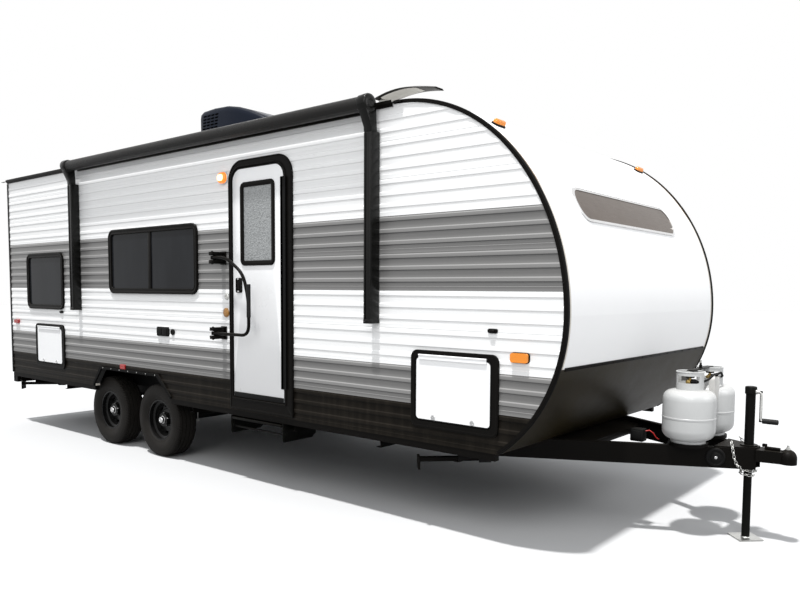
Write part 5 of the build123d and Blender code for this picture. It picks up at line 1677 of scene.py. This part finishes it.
@dataclass
class Tongue:
    """What the tongue carries: coupler, jack, bottles and their fittings."""

    bottle_x: float = 7254.0
    bottle_y: float = 190.0
    bottle_z: float = 594.6
    outlet: float = 376.0
    bottle_radius: float = 158.5
    collar_radius: float = 82.0
    jack_x: float = 7563.0
    jack_top: float = 948.0
    crank_top: float = 918.0
    crank_low: float = 743.0
    stop: tuple[float, float, float] = (7412.0, -156.0, 514.0)
    rail_turn: float = 27.0

    def build(self) -> None:
        """Dresses the tongue's nodes and adds its parts."""
        dress(FRAME_BLACK, "coupler", "bottle_tray")
        dress(JACK_BLACK, "jack_tube", "jack_leg")
        self.bottles()
        self.valves()
        self.regulator()
        self.hoses()
        self.hold_down()
        self.chains()
        self.jack_parts()
        self.crank()
        self.foot_plate()
        self.coupler_parts()
        self.rail_stop()
        self.switch_box()

    def bottles(self) -> None:
        """Builds the two bottles: foot ring, domed body with its weld seam, and a collar with hand holes."""
        body = Shape("gas_bottle_bodies")
        collar = Shape("gas_bottle_collars")
        wide = self.bottle_radius
        profile = [(10, 90), (14, 104), (20, 112), (24, 124), (32, 137), (44, 148), (60, 156), (84, wide)]
        profile += [(151, wide), (153, wide + 2), (161, wide + 2), (163, wide), (263, wide), (281, 157), (297, 151.5)]
        profile += [(310, 142), (319, 129), (325, 110), (330, 74), (334, 34), (349, 28), (349.5, 0)]
        for hand in SIDES:
            foot = self.foot(hand)
            body.turned(foot, UPWARD, profile, 72)
            body.hoop(foot, 104.0, 0.0, 24.0)
            for low, high in ((324.0, 372.0), (416.0, 440.0)):
                collar.hoop(foot, self.collar_radius, low, high)
            for start in (-30.0, 150.0):
                collar.hoop(foot, self.collar_radius, 370.0, 418.0, (radians(start), radians(start + 76)))
            collar.ring(foot + Vector((0, 0, 439)), UPWARD, self.collar_radius - 1, 3.6, 56)
        body.piece(BOTTLE, replaces=("gas_bottles",), sharp=40.0)
        collar.piece(BOTTLE, sharp=40.0)

    def foot(self, hand: int) -> Vector:
        """Gives the middle of a bottle's foot."""
        return Vector((self.bottle_x, hand * self.bottle_y, self.bottle_z))

    def valves(self) -> None:
        """Builds each valve: brass body, black hand wheel and the dark nut of its hose."""
        bodies = Shape("valve_bodies")
        wheels = Shape("valve_wheels")
        nuts = Shape("valve_nuts")
        for hand in SIDES:
            foot = self.foot(hand)
            bodies.turned(foot, UPWARD, [(340, 15), (352, 15), (354, 12), (392, 12), (394, 8), (404, 8)], 20)
            outlet = foot + Vector((0, 0, self.outlet))
            bodies.turned(outlet, (0, -1, 0), [(0, 12), (30, 12), (31, 15), (40, 15), (41, 10)], 6)
            centre = foot + Vector((0, 0, 400))
            rings = []
            for height, share in ((0, 0.86), (3, 1.0), (13, 1.0), (17, 0.84)):
                ring = []
                for i in range(48):
                    angle = 2 * pi * i / 48
                    radius = (25 + 3.0 * cos(angle * 8)) * share
                    ring.append(centre + Vector((radius * cos(angle), radius * sin(angle), height)))
                rings.append(ring)
            wheels.rings(rings)
            profile = [(8, 13), (12, 18), (34, 18), (38, 14), (46, 12), (47, 9)]
            nuts.turned(outlet, FORWARD, profile, 8)
        bodies.piece(BRASS, replaces=("gas_fittings",))
        wheels.piece(GRIP)
        nuts.piece(SEAL)

    def regulator(self) -> None:
        """Builds the regulator's cover."""
        cover = Shape("regulator_cover")
        face = Face(Facing.FRONT, 7306)
        section = [(0, 0), (0, 26), (4, 36), (12, 41), (20, 43)]
        cover.panel(Rect(15, 105, 826, 990, 24), face, section, steps=8)
        cover.piece(VENT)

    def hoses(self) -> None:
        """Builds the two hoses from the bottles to the regulator and the one that leaves it."""
        hoses = Shape("gas_hoses")
        level = self.bottle_z + self.outlet
        for hand in SIDES:
            line = [(self.bottle_x + 44, hand * self.bottle_y, level), (7330, hand * 176, level + 4)]
            line += [(7350, hand * 140, level + 16), (7352, 30 + hand * 70, level + 40)]
            line += [(7342, 60 + hand * 12, 1006), (7332, 60 + hand * 12, 984)]
            hoses.bar(line, 7.0, 12)
        line = [(7328, 60, 834), (7330, 62, 790), (7336, 82, 700), (7330, 96, 640), (7300, 88, 606), (7240, 70, 600)]
        hoses.bar(line, 9.0, 12)
        hoses.piece(SEAL, sharp=60.0)

    def hold_down(self) -> None:
        """Builds the regulator's bracket with the threaded rod, and the bar over both bottles with its nut."""
        bracket = Shape("regulator_bracket")
        bracket.block((self.bottle_x - 14, -12, 836), (7308, 12, 842), 1.0)
        profile = [(0, 14), (3, 14), (4, 10), (14, 10), (16, 7), (250, 7)]
        bracket.turned((self.bottle_x, 0, 842), UPWARD, profile, 16)
        bracket.piece(ZINC)
        bar = Shape("bottle_bar")
        bar.block((self.bottle_x - 22, -self.bottle_y, 1036), (self.bottle_x + 22, self.bottle_y, 1042), 1.5)
        bar.turned((self.bottle_x, 0, 1042), UPWARD, [(0, 15), (4, 15), (5, 11), (18, 11), (20, 8)], 6)
        bar.piece(STEP)

    def chains(self) -> None:
        """Builds the two safety chains, hung from the rails and looped at the jack."""
        shape = Shape("chain_links")
        near = [(7486, -96, 606), (7500, -118, 575), (7512, -116, 510), (7528, -106, 468), (7556, -62, 440)]
        near += [(7590, -44, 432), (7608, -14, 430), (7606, 24, 428)]
        far = [(7486, 96, 606), (7500, 118, 575), (7512, 116, 510), (7524, 90, 452), (7516, 30, 420)]
        far += [(7526, -34, 410), (7562, -42, 406), (7596, -34, 404), (7600, -4, 402)]
        for line in (near, far):
            self.linked(shape, [Vector(point) for point in line])
        shape.piece(ZINC, replaces=("safety_chains",), sharp=60.0)

    def linked(self, shape: Shape, line: list[Vector], pitch: float = 19.0) -> None:
        """Adds chain links along a line, each turned against the one before.

        Args:
            shape: The shape that they join.
            line: The chain's line of points.
            pitch: Distance from link to link.
        """
        length, width, wire = 12.5, 8, 2.8
        spots = []
        left = 0.0
        for start, end in zip(line, line[1:]):
            reach = (end - start).length
            while left < reach:
                spots.append((start.lerp(end, left / reach), (end - start).normalized()))
                left += pitch
            left -= reach
        for index, (middle, along) in enumerate(spots):
            side = along.orthogonal().normalized()
            wide = side if index % 2 else along.cross(side)
            up = along.cross(wide)
            rings = []
            for step in range(16):
                angle = 2 * pi * step / 16
                spot = along * length * cos(angle) + wide * width * sin(angle)
                out = (along * width * cos(angle) + wide * length * sin(angle)).normalized()
                rings.append(circle(middle + spot, out, up, wire, 6))
            shape.rings(rings, closed=True)

    def switch_box(self) -> None:
        """Adds the breakaway switch on the near rail, with its bracket and red lead."""
        box = Shape("switch_box")
        box.block((6925, -310, 575), (7010, -240, 655), 6.0)
        box.block((6935, -318, 590), (6998, -309, 645), 3.0)
        box.piece(SEAL)
        lead = Shape("switch_lead")
        line = [(7008, -262, 640), (7030, -250, 646), (7052, -240, 628), (7064, -232, 604), (7080, -222, 590)]
        lead.bar(line, 3.2, 8)
        lead.piece(LEAD, sharp=60.0)

    def jack_parts(self) -> None:
        """Adds the jack's hollow cap and the ring low on its tube."""
        cap = Shape("jack_cap")
        profile = [(0.2, 0), (0.2, 30.4), (-44, 30.4), (-44, 33), (-42, 34.5), (-3, 34.5), (1, 32), (3, 24), (4, 0)]
        cap.turned((self.jack_x, 0, self.jack_top), UPWARD, profile, 40)
        cap.hoop((self.jack_x, 0, 560), 30.6, 0.0, 24.0)
        cap.piece(JACK_BLACK)

    def crank(self) -> None:
        """Adds the crank with its collar and ribbed grip."""
        crank = Shape("crank_bright")
        top, low = self.crank_top, self.crank_low
        crank.turned((self.jack_x + 30, 0, top), FORWARD, [(0, 15), (8, 15), (10, 11), (22, 11), (23, 9)], 24)
        elbow = ((50, top), (58, top - 2.5), (61, top - 11), (61, low + 17), (63, low + 5), (72, low))
        crank.bar([(self.jack_x + out, 0, height) for out, height in elbow], 9.0, 14)
        crank.piece(ZINC, sharp=60.0)
        profile = [(0, 12), (2, 16)] + grooved(9, 9, 16.3, 15.2) + [(88, 15.5), (91, 11), (91.5, 0)]
        grip = Shape("crank_grip").turned((self.jack_x + 71, 0, low), FORWARD, profile, 24)
        grip.piece(GRIP, sharp=60.0)

    def foot_plate(self) -> None:
        """Adds the plate under the jack's leg and the weld between them."""
        foot = Shape("foot_weld")
        foot.ring((self.jack_x, 0, 9.5), UPWARD, 25.5, 4.0, 36)
        plate = [(107, 0), (0, 107), (-107, 0), (0, -107)]
        foot.slab([(self.jack_x + u, v) for u, v in plate], Face(Facing.UP, 0.0), 0.4, 9.5)
        foot.piece(ZINC, "jack_leg", sharp=60.0)

    def coupler_parts(self) -> None:
        """Adds the coupler's latch, its trigger pin and the adjusting nut on top."""
        latch = Shape("coupler_latch")
        latch.block((7655, -14, 572), (7742, 14, 590), 4.0)
        latch.block((7640, -9, 586), (7668, 9, 606), 4.0)
        latch.bar([(7700, -26, 582), (7700, 26, 582)], 5.0, 12)
        latch.piece(FRAME_BLACK)
        nut = Shape("coupler_nut")
        nut.bolt((7785, 0, 588.6), UPWARD, 24.0)
        nut.bar([(7785, 0, 590), (7785, 0, 612)], 7.0, 12)
        nut.piece(ZINC)

    def rail_stop(self) -> None:
        """Adds the round rubber stop with its bright bolt on the near tongue rail."""
        turn = radians(self.rail_turn)
        axis = Vector((sin(turn), -cos(turn), 0))
        centre = Vector(self.stop)
        stop = Shape("rail_stop")
        profile = [(-4, 58), (6, 58), (12, 54), (14, 46), (9, 42), (9, 30), (16, 27), (18, 16), (18, 0)]
        stop.turned(centre, axis, profile, 48)
        stop.piece(SEAL)
        Shape("rail_stop_bolt").bolt(centre + axis * 18, axis, 12.0).piece(CHROME)


@dataclass
class Lamps:
    """Side markers, clearance lamps and tail lamps."""

    brow_height: float = 2500.0
    brow_y: float = 1040.0

    def build(self) -> None:
        """Dresses the lamps and adds their bezels and the two on the brow."""
        dress(AMBER, "amber_lamps")
        dress(RED, "red_lamps")
        bezel = Shape("marker_bezels")
        for hand in SIDES:
            face = flank(hand, HALF)
            bezel.moulding(Rect(6595, 6715, 1117, 1179, 20), face, [(0, -5), (0, 5), (2, 8), (5, 8), (6, 3)], steps=8)
        bezel.piece(TRIM)
        self.brow_lamps()

    def brow_lamps(self) -> None:
        """Adds the two amber lamps on the brow, each on a black foot."""
        lean = nose_lean(self.brow_height)
        outward = Vector((cos(lean), 0, sin(lean)))
        upward = Vector((-sin(lean), 0, cos(lean)))
        lens = Shape("brow_lamp_lenses")
        foot = Shape("brow_lamp_feet")
        for hand in SIDES:
            middle = Vector((nose_x(self.brow_height), hand * self.brow_y, self.brow_height))
            foot_and_lens = (foot, ((0, -4), (0, 8), (3, 11))), (lens, ((6, 10), (7, 22), (12, 32), (19, 36)))
            for shape, section in foot_and_lens:
                rings = []
                for inset, out in section:
                    loop = Rect.about(0, 0, 58, 26, 22).loop(inset, 6)
                    rings.append([middle + Vector((0, u, 0)) + upward * v + outward * out for u, v in loop])
                shape.rings(rings)
        foot.piece(TRIM)
        lens.piece(AMBER, sharp=60.0)


@dataclass
class NosePlate:
    """The blank plate across the nose: a bronze field in a bright rim, bent to the skin."""

    left: float = -830.0
    right: float = 690.0
    low: float = 1935.0
    high: float = 2145.0
    corner: float = 100.0
    thick: float = 5.0
    rim_width: float = 16.0
    rim_height: float = 8.0

    def build(self) -> None:
        """Adds the field and its rim."""
        self.bent(Shape("nose_plate"), 10.0, 0.0, self.thick).piece(PLATE, sharp=60.0)
        self.rim(Shape("nose_plate_rim")).piece(CHROME, sharp=60.0)

    def outline(self, inset: float, steps: int = 48) -> list[tuple[float, float]]:
        """Gives the plate's outline, a bar with round ends, as (y, z) points: its top, then its bottom back."""
        left, right = self.left + inset, self.right - inset
        radius = self.corner - inset
        middle = (self.low + self.high) / 2
        half = (self.high - self.low) / 2 - inset
        top = []
        for index in range(steps + 1):
            y = left + (right - left) * (0.5 - 0.5 * cos(pi * index / steps))
            into = max(0.0, radius - min(y - left, right - y))
            top.append((y, half - radius + sqrt(max(radius**2 - into**2, 4.0))))
        return [(y, middle + lift) for y, lift in top] + [(y, middle - lift) for y, lift in reversed(top)]

    def bent(self, shape: Shape, inset: float, low: float, high: float) -> Shape:
        """Builds a plate of the outline between two heights above the skin, in strips that follow the bend."""
        outline = self.outline(inset)
        count = len(outline) // 2
        rows = 10
        for proud, flip in ((high, False), (low, True)):
            grid = []
            for column in range(count):
                top, bottom = outline[column], outline[-1 - column]
                line = []
                for row in range(rows + 1):
                    z = top[1] + (bottom[1] - top[1]) * row / rows
                    line.append(shape.mesh.verts.new((nose_x(z, proud), top[0], z)))
                grid.append(line)
            for first, second in zip(grid, grid[1:]):
                for row in range(rows):
                    corners = [first[row], second[row], second[row + 1], first[row + 1]]
                    shape.mesh.faces.new(corners[::-1] if flip else corners)
        return shape

    def rim(self, shape: Shape) -> Shape:
        """Builds the raised rim along the outline."""
        rings = []
        for inner, outer in zip(self.outline(self.rim_width), self.outline(0.0)):
            corners = ((outer, 0.0), (outer, self.rim_height), (inner, self.rim_height), (inner, 0.0))
            rings.append([(nose_x(z, proud), y, z) for (y, z), proud in corners])
        return shape.rings(rings, closed=True)


@dataclass(frozen=True)
class SoftLight:
    """A square area light that looks at the object's middle."""

    name: str
    place: tuple[float, float, float]
    size: float
    power: float

    def build(self) -> None:
        """Makes the light."""
        data = bpy.data.lights.new(self.name, "AREA")
        data.size = self.size
        data.energy = self.power
        made = bpy.data.objects.new(self.name, data)
        made.location = self.place
        made.rotation_euler = (Vector((0, 0, 1.2)) - Vector(self.place)).to_track_quat("-Z", "Y").to_euler()
        bpy.context.collection.objects.link(made)


@dataclass
class Studio:
    """Camera, lights, floor and background."""

    eye: tuple[float, float, float] = (8797.2, -4776.1, 1517.5)
    yaw: float = 38.976
    pitch: float = 4.034
    roll: float = 0.439
    focal_share: float = 735.27 / 800
    shift: tuple[float, float] = (-0.0235, 0.0538)
    sensor: float = 36.0
    overhead: float = 4.0
    lean: float = 15.0
    soft_lights: tuple[SoftLight, ...] = (
        SoftLight("key_light", (6.0, -9.0, 7.5), 7.0, 460.0),
        SoftLight("nose_light", (12.0, 2.0, 5.0), 5.0, 260.0),
        SoftLight("rear_light", (-9.0, 7.0, 7.0), 7.0, 300.0),
    )
    floor_reach: float = 60.0
    floor_tones: tuple[float, float] = (0.30, 0.34)
    floor_seen: float = 0.56
    sky: Colour = (0.93, 0.96, 1.0)
    sky_strength: float = 0.62

    def build(self) -> None:
        """Makes everything round the object."""
        self.camera()
        self.lights()
        self.floor()
        self.background()
        bpy.context.scene.view_settings.view_transform = "Standard"

    def camera(self) -> None:
        """Makes the camera at the viewing angle."""
        yaw, pitch, roll = radians(self.yaw), radians(self.pitch), radians(self.roll)
        forward = Vector((-sin(yaw) * cos(pitch), cos(yaw) * cos(pitch), -sin(pitch)))
        level = Vector((cos(yaw), sin(yaw), 0.0))
        upright = level.cross(forward)
        right = level * cos(roll) + upright * sin(roll)
        up = upright * cos(roll) - level * sin(roll)
        data = bpy.data.cameras.new("camera")
        data.sensor_width = self.sensor
        data.lens = self.sensor * self.focal_share
        data.shift_x, data.shift_y = self.shift
        data.clip_end = 200.0
        made = bpy.data.objects.new("camera", data)
        turn = Matrix((right, up, -forward)).transposed().to_4x4()
        made.matrix_world = Matrix.Translation(metres(self.eye)) @ turn
        bpy.context.collection.objects.link(made)
        bpy.context.scene.camera = made

    def lights(self) -> None:
        """Makes the soft lights round the object and a leaning sun overhead."""
        for light in self.soft_lights:
            light.build()
        data = bpy.data.lights.new("overhead", "SUN")
        data.energy = self.overhead
        data.angle = radians(3.0)
        made = bpy.data.objects.new("overhead", data)
        made.rotation_euler = (radians(self.lean), 0.0, 0.0)
        bpy.context.collection.objects.link(made)

    def floor(self) -> None:
        """Makes the floor: plain under the object's light, paler where the camera sees it."""
        data = bpy.data.meshes.new("floor")
        reach = self.floor_reach
        corners = [(-reach, -reach, 0), (reach, -reach, 0), (reach, reach, 0), (-reach, reach, 0)]
        data.from_pydata(corners, [], [(0, 1, 2, 3)])
        graph = Graph("floor_paint")
        seen = graph.node("ShaderNodeLightPath", {}, {}, "Is Camera Ray")
        cloud = graph.noise(graph.place(), 0.8, 4.0, 0.6)
        dark, light, pale = ((tone, tone, tone) for tone in (*self.floor_tones, self.floor_seen))
        graph.surface(
            Base_Color=graph.mix(seen, graph.mix(cloud, dark, light), pale),
            Roughness=cloud * 0.1 + 0.8,
            Specular_IOR_Level=0.0,
        )
        data.materials.append(graph.material)
        made = bpy.data.objects.new("floor", data)
        bpy.context.collection.objects.link(made)

    def background(self) -> None:
        """Makes the world: even light on the object, white where the camera or a mirror looks past it."""
        world = bpy.data.worlds.new("studio")
        bpy.context.scene.world = world
        world.use_nodes = True
        nodes, links = world.node_tree.nodes, world.node_tree.links
        nodes.clear()
        path = nodes.new("ShaderNodeLightPath")
        seen, through = nodes.new("ShaderNodeMath"), nodes.new("ShaderNodeMath")
        seen.operation = through.operation = "MAXIMUM"
        links.new(path.outputs["Is Glossy Ray"], through.inputs[0])
        links.new(path.outputs["Is Transmission Ray"], through.inputs[1])
        links.new(path.outputs["Is Camera Ray"], seen.inputs[0])
        links.new(through.outputs[0], seen.inputs[1])
        light = nodes.new("ShaderNodeBackground")
        light.inputs[0].default_value = (*self.sky, 1.0)
        light.inputs[1].default_value = self.sky_strength
        white = nodes.new("ShaderNodeBackground")
        white.inputs[0].default_value = (1.0, 1.0, 1.0, 1.0)
        mix = nodes.new("ShaderNodeMixShader")
        output = nodes.new("ShaderNodeOutputWorld")
        links.new(seen.outputs[0], mix.inputs[0])
        links.new(light.outputs[0], mix.inputs[1])
        links.new(white.outputs[0], mix.inputs[2])
        links.new(mix.outputs[0], output.inputs[0])


def main() -> None:
    """Builds the studio and every sub-assembly in order."""
    logging.basicConfig(level=logging.INFO, format="%(name)s %(message)s")
    right_front = Rect(5884, 6498, 690, 1136, 30)
    right_rear = Rect(646, 1249, 708, 1127, 30)
    wheels = [
        Wheel(f"{side}_{end}", hand, x)
        for side, hand in (("right", -1), ("left", 1))
        for end, x in zip(("rear", "front"), AXLES)
    ]
    windows = [
        Window("big", -1, Rect(2207, 3577, 1494, 2043, 60), True),
        Window("small", -1, Rect(474, 1261, 1318, 1866, 60), False),
        Window("dinette", 1, Rect(2400, 3500, 1494, 2043, 60), True),
        Window("bedroom", 1, Rect(5120, 5660, 1494, 2043, 60), False),
    ]
    hatches = [
        Hatch("hatch_front_right", -1, right_front, (6467, 1292)),
        Hatch("hatch_rear_right", -1, right_rear, (1210, 1277)),
        Hatch("hatch_front_left", 1, right_front, (6467, 1292)),
    ]
    dress(TRIM, "hatch_frames", "window_frames")
    dress(GLASS, "window_glass")
    parts = [Studio(), Chassis(), *wheels, Shell(), *windows, EntryDoor(), GrabHandle(), *hatches, SideFittings()]
    parts += [Awning(), RoofGear(), EntryStep(), Underside(), Tongue(), Lamps(), NosePlate()]
    for part in parts:
        part.build()
        log.info("built %s", type(part).__name__)


if __name__ == "__main__":
    main()
